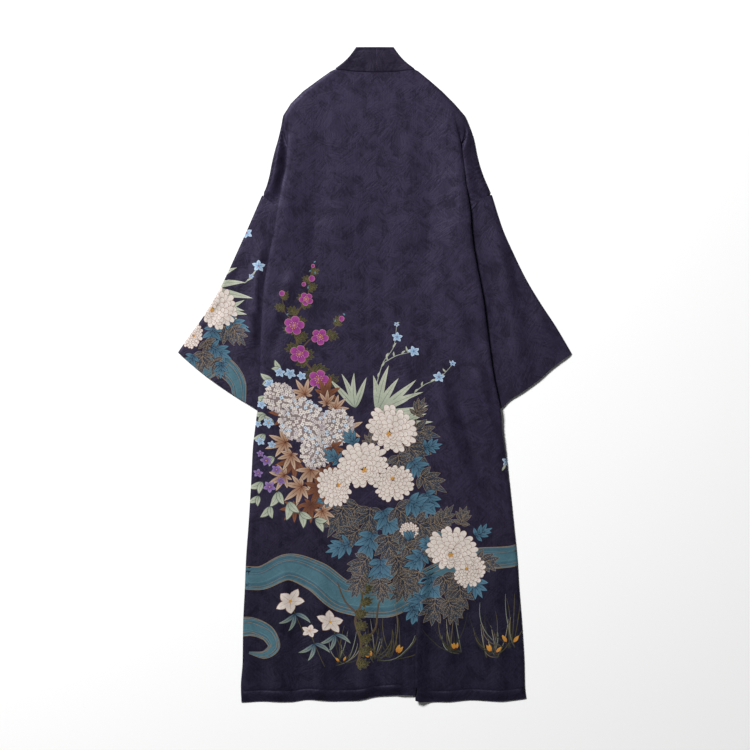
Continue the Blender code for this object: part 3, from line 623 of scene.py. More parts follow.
def surface(form, flat, facing):
    """Points and unit normals of a form at flat points."""
    step = 0.04
    along = form(flat + (step, 0.0)) - form(flat - (step, 0.0))
    across = form(flat + (0.0, step)) - form(flat - (0.0, step))
    return form(flat), unit(np.cross(along, across) * facing)


class Shell:
    """Gathers the faces of one cloth piece, with a normal for each point and an ink colour for each corner."""

    def __init__(self):
        self.points, self.normals, self.faces, self.inks = [], [], [], []
        self.count = 0

    def add(self, points, normals, faces, inks=None):
        self.points.append(points)
        self.normals.append(normals)
        start = self.count
        self.count += len(points)
        self.faces += [tuple(int(corner) + start for corner in face) for face in faces]
        if inks is None:
            inks = np.zeros((sum(len(face) for face in faces), 4))
        self.inks.append(inks)

    def cloth(self, form, outline, points, shapes=(), facing=1.0, joined=None, plan=None, under=None):
        """A sheet of cloth with both faces and a rounded rim. Shapes are painted on its outer face.

        Where joined says that another layer meets it, the sheet has no rim and turns outwards instead.
        Returns the points of its border.
        """
        flat, tris, top = triangulate(outline, points, shapes)
        loop = border_loop(tris)
        ring = flat[loop]
        middle, normal = surface(form, flat, facing)
        turn_out(flat, normal, loop, joined)
        order = tris if facing > 0 else tris[:, ::-1]
        inks = paint(flat if plan is None else plan(flat), order, top, shapes)
        self.add(middle + normal * UP, normal, order, inks)
        self.rim(ring, middle[loop], normal[loop], facing, joined)
        if len(shapes):
            flat, tris, _ = cut(ring.tolist(), points if under is None else under)
            middle, normal = surface(form, flat, facing)
            turn_out(flat, normal, border_loop(tris), joined)
            order = tris if facing > 0 else tris[:, ::-1]
        self.add(middle - normal * DOWN, -normal, order[:, ::-1])
        return ring.tolist()

    def rim(self, ring, middle, normal, facing, joined):
        count = len(ring)
        away = np.cross(np.roll(middle, -1, axis=0) - np.roll(middle, 1, axis=0), normal) * facing
        out = unit(away)
        rings = np.concatenate([middle + normal * UP, middle + normal * (UP - DOWN) / 2 + out * RIM,
                                middle - normal * DOWN])
        held = np.zeros(count, bool) if joined is None else joined(ring)
        faces = []
        for a in range(count):
            b = (a + 1) % count
            if held[a] and held[b]:
                continue
            for level in (0, count):
                quad = (b + level, a + level, a + level + count, b + level + count)
                faces.append(quad if facing > 0 else quad[::-1])
        self.add(rings, np.concatenate([normal, out, -normal]), faces)

    def build(self, name, material, node):
        """The piece in the scene, with points that coincide joined into one."""
        points, normals = np.concatenate(self.points), np.concatenate(self.normals)
        faces = self.faces
        used = np.unique(np.concatenate([np.array(face) for face in faces]))
        _, first, same = np.unique(np.round(points[used], 3), axis=0, return_index=True, return_inverse=True)
        number = np.zeros(len(points), int)
        number[used] = same.ravel()
        joined_normals = np.zeros((len(first), 3))
        np.add.at(joined_normals, same.ravel(), normals[used])
        inks, kept, kept_inks, corner = np.concatenate(self.inks), [], [], 0
        for face in faces:
            joined = [int(number[k]) for k in face]
            picked = [k for k in range(len(joined)) if joined[k] != joined[k - 1]]
            if len({joined[k] for k in picked}) == len(picked) > 2:
                kept.append(tuple(joined[k] for k in picked))
                kept_inks += [corner + k for k in picked]
            corner += len(face)
        mesh = bpy.data.meshes.new(name)
        mesh.from_pydata([tuple(p) for p in points[used][first] * MM], [], kept)
        mesh.materials.append(material)
        ink = mesh.attributes.new("ink", "FLOAT_COLOR", "CORNER")
        ink.data.foreach_set("color", inks[kept_inks].astype(np.float32).ravel())
        mesh.shade_smooth()
        mesh.normals_split_custom_set_from_vertices([tuple(n) for n in unit(joined_normals)])
        thing = bpy.data.objects.new(name, mesh)
        bpy.context.scene.collection.objects.link(thing)
        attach(thing, "root")
        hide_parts(node)
        return thing


def border_loop(tris):
    """The corners round the edge of a flat mesh, in order."""
    edges = {(int(a), int(b)) for tri in tris for a, b in ((tri[0], tri[1]), (tri[1], tri[2]), (tri[2], tri[0]))}
    following = {a: b for a, b in edges if (b, a) not in edges}
    start = min(following)
    loop = [start]
    while following[loop[-1]] != start:
        loop.append(following[loop[-1]])
    return np.array(loop)


def turn_out(flat, normal, loop, joined):
    """Where two layers meet, gives the edge's normals the direction straight outwards."""
    if joined is None:
        return
    ring = flat[loop]
    along = np.roll(ring, -1, axis=0) - np.roll(ring, 1, axis=0)
    out = unit(np.column_stack([along[:, 1], -along[:, 0], np.zeros(len(ring))]))
    held = joined(ring)
    normal[loop[held]] = out[held]


def paint(plan, tris, top, shapes):
    """The ink at each corner: a shape's colour runs from its root to its tip."""
    inks = np.zeros((len(tris) * 3, 4))
    if not len(shapes):
        return inks
    owner = np.repeat(top, 3)
    inked = owner > 0
    owner = owner[inked] - 1
    corners = plan[tris.ravel()][inked]
    root, tip, start, end = (np.array([shape[key] for shape in shapes]) for key in ("root", "tip", "start", "end"))
    reach = (end - start)[owner]
    share = np.sum((corners - start[owner]) * reach, axis=1) / np.maximum(np.sum(reach * reach, axis=1), 1e-9)
    inks[inked, :3] = root[owner] + (tip - root)[owner] * np.clip(share, 0.0, 1.0)[:, None]
    inks[inked, 3] = 1.0
    return inks


def resample(points, step):
    """The same line with points no further apart than the step."""
    result = []
    for (ax, ay), (bx, by) in zip(points[:-1], points[1:]):
        count = max(1, int(math.ceil(math.hypot(bx - ax, by - ay) / step)))
        result += [(ax + (bx - ax) * k / count, ay + (by - ay) * k / count) for k in range(count)]
    return result + [tuple(points[-1])]


def back_outline():
    """The back's flat outline, anticlockwise from the left end of the neck seam."""
    right_down = [(x, y) for x, y in SHOULDER_RIGHT if y >= TUCK_TOP_Y]
    left_up = [(x, y) for x, y in SHOULDER_LEFT if y >= TUCK_TOP_Y][::-1]
    levels = np.arange(TUCK_TOP_Y, TUCK_END_Y, -7.0)
    ring = [(to_sheet(x, y), y) for x, y in left_up]
    ring += [(to_sheet(x, y), y) for x, y in resample(NECK_SEAM[1:-1].tolist(), 9.0)]
    ring += [(to_sheet(x, y), y) for x, y in right_down]
    ring += [(HALF + sheet_margin("right", y), y) for y in levels]
    ring += [(HALF + sheet_margin("right", TUCK_END_Y), TUCK_END_Y), (HALF, TUCK_END_Y)]
    ring += [(HALF, y) for y in np.arange(TUCK_END_Y - 8.0, -562.0, -8.0)]
    hem_u = np.arange(246.0, -247.0, -4.0)
    hem_v = hem_y(from_sheet(hem_u, np.full(len(hem_u), HEM_Y)))
    ring += [(HALF, -566.0)] + list(zip(hem_u, hem_v)) + [(-HALF, -573.0)]
    ring += [(-HALF, y) for y in np.arange(-566.0, TUCK_END_Y, 8.0)]
    ring += [(-HALF, TUCK_END_Y), (-HALF - sheet_margin("left", TUCK_END_Y), TUCK_END_Y)]
    ring += [(-HALF - sheet_margin("left", y), y) for y in levels[::-1]]
    return as_pairs(ring)[::-1]


EDGE_COLUMNS = (0.0, 0.12, 0.5, 1.1, 2.0, 3.5, 5.6, 8.5)
TUCK_COLUMNS = (0.05, 0.1, 0.15, 0.2, 0.32, 0.45, 0.5, 0.55, 0.6, 0.65, 0.69, 0.72, 0.75, 0.78, 0.81, 0.84, 0.87, 0.9,
                0.93, 0.955, 0.975, 0.988, 0.996)
PLEAT_COLUMNS = 44
HEM_ROWS = (1.0, 4.0, 8.0, 12.5) + tuple(HEM_STITCH + beside for beside in (-3.0, -1.4, 0.0, 1.4, 3.0))


def back_points(apart=7.0):
    """Points inside the back's flat outline, closer together at its edges and in the hem pleat."""
    points = []
    edge = [tuple(p) for p in SHOULDER_LEFT[::-1] if p[1] >= TUCK_TOP_Y - 12] + [tuple(p) for p in NECK_SEAM[1:-1]]
    edge += [tuple(p) for p in SHOULDER_RIGHT if p[1] >= TUCK_TOP_Y - 12]
    line = np.array(resample(as_pairs(edge), 4.0))
    _, inward = both_sides(line, np.ones(len(line)))
    inward = inward - line
    for offset in (0.15, 0.5, 1.1, 2.0, 3.2, 5.0, 7.5):
        for x, y in line + inward * offset:
            if TUCK_TOP_Y < y < COLLAR_TOP_Y:
                points.append((float(to_sheet(x, y)), float(y)))
    hem_u = np.arange(-HALF + 6.0, HALF - 5.0, 5.0)
    hem_v = hem_y(from_sheet(hem_u, np.full(len(hem_u), HEM_Y)))
    for above in HEM_ROWS:
        points += as_pairs(zip(hem_u, hem_v + above))
    for y in np.arange(-543.0, 532.0, apart + 0.5):
        left, right = side_x("left", y), side_x("right", y)
        scale = 2 * HALF / (right - left)
        across = [-HALF + d * scale for d in EDGE_COLUMNS] + [HALF - d * scale for d in EDGE_COLUMNS]
        pleat = (to_sheet(PLEAT_FLAT[0], y), to_sheet(PLEAT_FLAT[1], y))
        for u in np.arange(-HALF + 16.0, HALF - 10.0, apart):
            if y > PLEAT_TOP_Y or not pleat[0] - 3.0 < u < pleat[1] + 3.0:
                across.append(u)
        if y <= PLEAT_TOP_Y:
            across += list(np.linspace(pleat[0], pleat[1], PLEAT_COLUMNS))
        if TUCK_END_Y < y < TUCK_TOP_Y:
            for side, sign in SIGN.items():
                margin = sheet_margin(side, y)
                across += [sign * (HALF + margin * share) for share in TUCK_COLUMNS]
        if y > TUCK_TOP_Y - 2.0:
            at = np.array(across)
            away = distance_to_line(from_sheet(at, np.full(len(at), y)), np.full(len(at), y), line)
            across = at[away > 9.0]
        points += [(float(u), float(y)) for u in across]
    return points


def back_plan(flat):
    return np.column_stack([from_sheet(flat[:, 0], flat[:, 1]), flat[:, 1]])


def sleeve_outline(side):
    table = SLEEVE_TABLES[side]
    ring = [tuple(p) for p in along_line(table["outer"], np.linspace(0.0, 1.0, 49))]
    ring += [tuple(p) for p in along_line(table["cuff"], np.linspace(0.0, 1.0, 33))[1:]]
    ring += resample([table["cuff"][-1], table["armhole"][-1]], 10.0)[1:]
    ring += [tuple(p) for p in along_line(table["armhole"], np.linspace(1.0, 0.0, 31))[1:-1]]
    return as_pairs(ring) if side == "left" else as_pairs(ring)[::-1]


def sleeve_points(side):
    """Points over a sleeve's plan, closer together along its rolled outer edge."""
    sign = SIGN[side]
    outer, under = sleeve_lines(side)
    points = []
    inward = np.array([-sign * 0.86, -0.5])
    for offset in (0.15, 0.6, 1.3, 2.4, 4.0, 6.5):
        points += [tuple(p) for p in outer + inward * offset]
    for x in np.arange(34.0, 346.0, 6.5):
        for y in np.arange(-90.0, 316.0, 7.5):
            if distance_to_line(np.array([sign * x]), np.array([y]), outer)[0] > 8.0:
                if distance_to_line(np.array([sign * x]), np.array([y]), under)[0] > 3.0:
                    points.append((sign * x, y))
    return as_pairs(points)


# The print: shapes painted in order, each with a colour at its root and at its tip.

CREAM, CREAM_SHADE, CREAM_LINE = (236, 226, 217), (214, 199, 189), (140, 106, 88)
GREIGE, GREIGE_SHADE, GREIGE_LINE = (214, 205, 203), (184, 172, 174), (104, 96, 112)
FLORET_LINE = (142, 128, 124)
GOLD, OCHRE = (214, 160, 66), (196, 126, 50)
TEAL, TEAL_DEEP, TEAL_LINE = (90, 134, 154), (58, 90, 110), (30, 46, 62)
SLATE, SLATE_DEEP, TAN = (58, 72, 84), (40, 42, 52), (142, 124, 100)
WATER, WATER_DEEP, WATER_LIGHT = (76, 114, 126), (66, 102, 116), (96, 134, 142)
MAGENTA, MAGENTA_DEEP, MAGENTA_LINE = (170, 74, 152), (128, 44, 118), (196, 132, 150)
RUST, RUST_LIGHT, RUST_DEEP = (144, 92, 58), (212, 190, 166), (90, 54, 38)
SAGE, SAGE_DEEP, SAGE_LINE = (200, 204, 182), (158, 168, 148), (92, 104, 94)
SKY, SKY_LIGHT, SKY_LINE = (132, 176, 216), (206, 224, 238), (52, 74, 112)
VIOLET, VIOLET_LIGHT = (106, 66, 132), (168, 138, 190)
OLIVE, OLIVE_DEEP, BARK = (104, 96, 52), (54, 54, 38), (86, 68, 54)
PALE = (172, 168, 146)
ROSE = (146, 60, 70)
RUSTS = ((RUST_DEEP, RUST), (RUST, RUST_LIGHT))
FLORET_SHADED, FLORET_LIT = (GREIGE_SHADE, GREIGE), (GREIGE, CREAM, CREAM, CREAM, GREIGE, CREAM, SKY_LIGHT)
FLORET_HEARTS = (SKY_LINE, SKY_LINE, VIOLET, TAN, GREIGE_LINE)
LEAF_KINDS = {"teal": ((TEAL_DEEP, TEAL), TEAL_LINE, 1), "slate": ((SLATE_DEEP, SLATE), TAN, 4),
              "olive": ((OLIVE_DEEP, OLIVE_DEEP), OLIVE, 2)}
LEAVES_GROWN = 1.34
# Bands of water from one share of its half width to another, and its lines: where, width, colour and phase.
WATER_BANDS = ((-1.0, 1.0, TAN), (-0.95, 0.95, WATER), (-0.95, -0.30, WATER_DEEP), (0.42, 0.80, WATER_DEEP))
WATER_LINES = ((0.87, 0.9, TAN, 0.0), (-0.87, 0.9, TAN, 1.0), (0.64, 0.8, WATER_LIGHT, 2.0), (-0.62, 1.0, TAN, 3.1),
               (0.42, 0.9, TAN, 4.4), (-0.36, 0.7, WATER_LIGHT, 5.0))

# A lobed leaf: where each lobe leaves the midrib, its angle in degrees, its length and its width.
GARDEN_LEAF = [(0.04, 74, 0.42, 0.19), (0.04, -74, 0.42, 0.19), (0.18, 46, 0.56, 0.21), (0.18, -46, 0.56, 0.21),
               (0.38, 30, 0.50, 0.19), (0.38, -30, 0.50, 0.19), (0.0, 0, 1.0, 0.24)]
MAPLE_LEAF = [(0.0, 128, 0.42, 0.16), (0.0, -128, 0.42, 0.16), (0.0, 82, 0.68, 0.21), (0.0, -82, 0.68, 0.21),
              (0.0, 41, 0.88, 0.24), (0.0, -41, 0.88, 0.24), (0.0, 0, 1.0, 0.26)]


def linear(colour):
    return tuple(c / 3294.6 if c <= 10 else ((c / 255 + 0.055) / 1.055) ** 2.4 for c in colour)


def towards(angle, length=1.0):
    """A step of that length at an angle in degrees, anticlockwise from +X."""
    return np.array([math.cos(math.radians(angle)), math.sin(math.radians(angle))]) * length


def bowed(start, end, bow=0.0, count=9):
    """A line from start to end that bows out to its left by that share of its length."""
    start, end = np.array(start, float), np.array(end, float)
    t = np.linspace(0.0, 1.0, count)[:, None]
    reach = end - start
    return start + reach * t + np.array([-reach[1], reach[0]]) * bow * 4 * t * (1 - t)


def both_sides(line, half):
    along = unit(np.gradient(line, axis=0))
    side = np.column_stack([-along[:, 1], along[:, 0]]) * np.asarray(half)[:, None]
    return line + side, line - side


class Print:
    """The shapes of one print, in the order in which they are painted, drawn in the robe's plan."""

    def __init__(self, seed):
        self.shapes = []
        self.random = random.Random(seed)
        self.warp = None

    def shape(self, points, root, tip=None, start=None, end=None):
        points = np.asarray(points, float)
        ends = np.array([points[0] if start is None else start, points[len(points) // 2] if end is None else end])
        if self.warp is not None:
            points, ends = self.warp(points), self.warp(ends)
        x, y = points[:, 0], points[:, 1]
        if np.sum(x * np.roll(y, -1) - np.roll(x, -1) * y) < 0:
            points = points[::-1]
        self.shapes.append({"points": points, "root": linear(root), "tip": linear(tip or root),
                            "start": ends[0], "end": ends[1]})

    def ribbon(self, line, widths, root, tip=None):
        """A stroke along a line; widths are spread along it."""
        line = np.asarray(line, float)
        half = np.interp(np.linspace(0, 1, len(line)), np.linspace(0, 1, len(widths)), widths) / 2
        left, right = both_sides(line, half)
        self.shape(np.concatenate([left, right[::-1]]), root, tip, line[0], line[-1])

    def rounded(self, line, half, root, tip=None):
        """A shape on both sides of a line that closes to a point at each end."""
        left, right = both_sides(line, half)
        self.shape(np.concatenate([line[:1], left[1:-1], line[-1:], right[1:-1][::-1]]), root, tip, line[0], line[-1])

    def disc(self, centre, radius, colour, tip=None, count=10):
        turn = np.arange(count) * 2 * math.pi / count
        points = np.array(centre) + radius * np.column_stack([np.cos(turn), np.sin(turn)])
        self.shape(points, colour, tip)

    def blade(self, base, angle, length, width, colours, bow=0.0, line=None, rib=None, full=0.8, edge=0.7):
        """A pointed leaf or petal from its base, with an outline and a midrib if they have a colour."""
        base = np.array(base, float)
        middle = bowed(base, base + towards(angle, length), bow, 10)
        half = width / 2 * np.sin(np.pi * np.linspace(0.0, 1.0, 10) ** full) ** 0.9
        if line is not None:
            longer = bowed(base - towards(angle, edge), base + towards(angle, length + 2 * edge), bow, 10)
            self.rounded(longer, half + edge, line)
        self.rounded(middle, half, *colours)
        if rib is not None:
            self.ribbon(middle[:9], (0.9, 0.35), rib)

    def petal(self, base, angle, length, width, colours, line, bow=0.0, edge=0.55, blunt=6.0):
        """A petal with a round tip and an outline."""
        base = np.array(base, float)
        share = np.array([0.0, 0.18, 0.36, 0.54, 0.7, 0.83, 0.92, 0.975, 1.0])
        half = width / 2 * share ** 0.55 * np.sqrt(1.0 - share ** blunt)
        for grow, paint_as in ((edge, (line,)), (0.0, colours)):
            middle = bowed(base, base + towards(angle, length + grow), bow, 33)
            at = np.interp(share, np.linspace(0, 1, 33), np.arange(33)).astype(int)
            self.rounded(middle[at], half + grow * (share > 0) * (share < 1), *paint_as)

    def lobed(self, base, angle, size, lobes, colours, line, vein, bow=0.0, side_veins=0):
        """A leaf of several pointed lobes, with veins."""
        base = np.array(base, float)
        parts = []
        for along, turn, length, width in lobes:
            jitter = self.random.uniform(-5, 5)
            start = base + towards(angle, size * along)
            parts.append((start, angle + turn + jitter, size * length * self.random.uniform(0.92, 1.06), size * width))
        for start, turn, length, width in parts:
            self.blade(start - towards(turn, 0.6), turn, length + 1.8, width + 1.3, (line,), bow, full=0.85)
        for start, turn, length, width in parts:
            self.blade(start, turn, length, width, colours, bow, full=0.85)
        for start, turn, length, width in parts:
            middle = bowed(start, start + towards(turn, length * 0.86), bow, 6)
            self.ribbon(middle, (0.9, 0.4), vein)
            for k in range(side_veins):
                at = middle[1 + k] if k < 4 else middle[4]
                for sign in (-1, 1):
                    self.ribbon(bowed(at, at + towards(turn + sign * 38, width * 0.52), 0.1 * sign, 3), (0.7, 0.35),
                                vein)

    def garden_leaf(self, base, angle, size, kind):
        colours, line, side_veins = LEAF_KINDS[kind]
        self.lobed(base, angle, size, GARDEN_LEAF, colours, line, line, side_veins=side_veins)

    def maple_leaf(self, base, angle, size, colours):
        self.lobed(base, angle, size, MAPLE_LEAF, colours, RUST_DEEP, RUST_DEEP)
        self.ribbon(bowed(base, np.array(base) - towards(angle, size * 0.4), 0.1, 5), (0.9, 0.6), RUST_DEEP)

    def tilted(self, centre, lean, squash):
        """Draws what follows as if its face leaned that way, until the warp is cleared."""
        centre = np.array(centre, float)
        axis, across = towards(lean), towards(lean + 90)

        def warp(points):
            away = points - centre
            return centre + np.outer(away @ axis * squash, axis) + np.outer(away @ across, across)

        self.warp = warp

    def chrysanthemum(self, centre, radius, lean=70.0, squash=0.84, heart=True,
                      colours=(CREAM_SHADE, CREAM), line=CREAM_LINE):
        """A full bloom of several rings of round-tipped petals that lean to one side."""
        centre = np.array(centre, float)
        self.tilted(centre, lean, squash)
        rings = ((1.0, 19), (0.84, 17), (0.68, 14), (0.52, 11), (0.37, 8), (0.24, 6))
        for ring, (reach, count) in enumerate(rings):
            first = self.random.uniform(0, 360)
            middle = centre - towards(lean, radius * 0.05 * ring)
            for k in range(count):
                turn = first + 360 * (k + self.random.uniform(-0.16, 0.16)) / count
                length = radius * reach * self.random.uniform(0.93, 1.05)
                base = middle + towards(turn, length * 0.3)
                width = 2 * math.pi * radius * reach / count * 0.98
                self.petal(base, turn + self.random.uniform(-5, 5), length * 0.7, width, colours, line,
                           bow=self.random.uniform(-0.07, 0.07), edge=0.5)
        middle = centre - towards(lean, radius * 0.05 * len(rings))
        if heart:
            for k in range(9):
                at = middle + towards(k * 137.5, radius * 0.035 * math.sqrt(k))
                self.disc(at, radius * 0.03 + 0.3, OCHRE if k % 3 else GOLD, GOLD, 7)
        self.warp = None

    def floret(self, at, size, turn, colour, heart):
        """Four small round petals round a dot."""
        angle = np.arange(16) * math.pi / 8
        reach = 0.60 + 0.40 * np.abs(np.cos(2 * angle))
        ring = np.column_stack([np.cos(angle + turn), np.sin(angle + turn)]) * reach[:, None]
        self.shape(at + ring * (size + 0.3), FLORET_LINE)
        self.shape(at + ring * size, colour)
        self.disc(at, 0.24 * size, heart, count=5)

    def snowball(self, centre, radius, lean=60.0, squash=0.93, size=4.0):
        """A round head of many small four-petalled florets, closer together towards its rim."""
        centre = np.array(centre, float)
        self.tilted(centre, lean, squash)
        self.disc(centre, radius, SLATE_DEEP, count=36)
        self.disc(centre, radius * 0.95, FLORET_LINE, count=36)
        count = int(1.85 * (radius / size) ** 2)
        for k in range(count - 1, -1, -1):
            share = math.sqrt((k + 0.5) / count)
            turn = k * 137.5 + self.random.uniform(-9, 9)
            at = centre + towards(turn, radius * math.sin(share * math.pi / 2) * self.random.uniform(0.94, 1.04))
            shaded = share > 0.7 and math.cos(math.radians(turn + 50)) > 0.2
            colour = self.random.choice(FLORET_SHADED if shaded else FLORET_LIT)
            heart = self.random.choice(FLORET_HEARTS)
            self.floret(at, size * self.random.uniform(0.82, 1.12) * (1.0 - 0.2 * share), self.random.uniform(0, 1.6),
                        colour, heart)
        self.warp = None

    def plum_blossom(self, centre, radius, lean=80.0, squash=0.92):
        """Five broad round petals with fine streaks and long stamens."""
        centre = np.array(centre, float)
        self.tilted(centre, lean, squash)
        first = self.random.uniform(0, 72)
        for k in range(5):
            turn = first + 72 * k
            self.petal(centre + towards(turn, radius * 0.06), turn, radius * 0.94, radius * 1.12,
                       (MAGENTA_DEEP, MAGENTA), MAGENTA_LINE, edge=0.6, blunt=3.0)
        for k in range(5):
            for offset in (-18, 0, 18):
                turn = first + 72 * k + offset
                self.ribbon(bowed(centre + towards(turn, radius * 0.3), centre + towards(turn, radius * 0.82), 0, 4),
                            (0.7, 0.3), MAGENTA_DEEP)
        for k in range(10):
            turn = first + 36 * k + 18
            end = centre + towards(turn, radius * self.random.uniform(0.3, 0.44))
            self.ribbon(bowed(centre, end, 0.05, 3), (0.7, 0.5), MAGENTA_LINE)
            self.disc(end, 0.9, GOLD, count=6)
        self.disc(centre, radius * 0.11, GOLD, OCHRE, 8)
        self.warp = None

    def bellflower(self, centre, radius, colours=(SKY, SKY_LIGHT), line=SKY_LINE, heart=GOLD, lean=70.0, squash=0.86):
        """Five pointed petals joined like a star."""
        centre = np.array(centre, float)
        self.tilted(centre, lean, squash)
        first = self.random.uniform(0, 72)
        for grow, paint_as in ((max(0.5, radius * 0.04), (line,)), (0.0, colours)):
            for k in range(5):
                turn = first + 72 * k
                self.blade(centre - towards(turn, grow), turn, radius + 2 * grow, radius * 0.62 + 2 * grow, paint_as,
                           full=1.0)
        for k in range(5):
            turn = first + 72 * k
            self.ribbon(bowed(centre, centre + towards(turn, radius * 0.8), 0, 3), (0.6, 0.3), line)
        self.disc(centre, max(0.9, radius * 0.12), heart, count=8)
        self.warp = None

    def bamboo(self, base, angles, length, width):
        """A fan of long pointed sage blades."""
        for angle in angles:
            reach = length * self.random.uniform(0.75, 1.1)
            self.blade(base, angle, reach, width, (SAGE_DEEP, SAGE), self.random.uniform(-0.07, 0.07),
                       full=0.72, rib=SAGE_LINE)

    def grass(self, base, count, height, lean=0.0, spread=58.0):
        """Thin arching blades with a few ochre seed heads at their foot."""
        base = np.array(base, float)
        for k in range(count):
            turn = 90 + lean + self.random.triangular(-spread, spread, 0.0)
            reach = height * self.random.uniform(0.4, 1.15)
            bow = (turn - 90) / 230.0 + self.random.uniform(-0.08, 0.08)
            colour = self.random.choice((PALE, TAN, OLIVE, SAGE_DEEP, OLIVE, OLIVE_DEEP))
            foot = base + (self.random.uniform(-12, 12), self.random.uniform(-4, 8))
            self.ribbon(bowed(foot, foot + towards(turn, reach), bow, 9), (1.7, 1.5, 0.3), OLIVE_DEEP, colour)
        for k in range(3):
            turn = 90 + self.random.uniform(-50, 50)
            self.blade(base + towards(turn, height * 0.12), turn, height * 0.17, height * 0.07, (OCHRE, GOLD))

    def twig(self, points, widths, colour=BARK, light=OLIVE):
        line = along_line(points, np.linspace(0, 1, 6 * len(points)))
        self.ribbon(line, widths, colour)
        left, _ = both_sides(line, np.full(len(line), min(widths) * 0.28))
        self.ribbon(left, (min(widths) * 0.3, 0.4), light)
        return line

    def water(self, points, halves):
        """A band of flowing water between contour lines."""
        line = along_line(points, np.linspace(0, 1, 12 * len(points)))
        half = np.interp(np.linspace(0, 1, len(line)), np.linspace(0, 1, len(halves)), halves)
        for low, high, colour in WATER_BANDS:
            _, left = both_sides(line, half * low)
            _, right = both_sides(line, half * high)
            self.shape(np.concatenate([left, right[::-1]]), colour)
        share = np.linspace(0, 1, len(line))
        for offset, width, colour, phase in WATER_LINES:
            wander = offset + 0.06 * np.sin(share * 17 + phase)
            middle, _ = both_sides(line, half * wander)
            short = int(4 * abs(math.sin(phase)))
            self.ribbon(middle[short:len(middle) - short], (0.3, width, width, width, 0.3), colour)


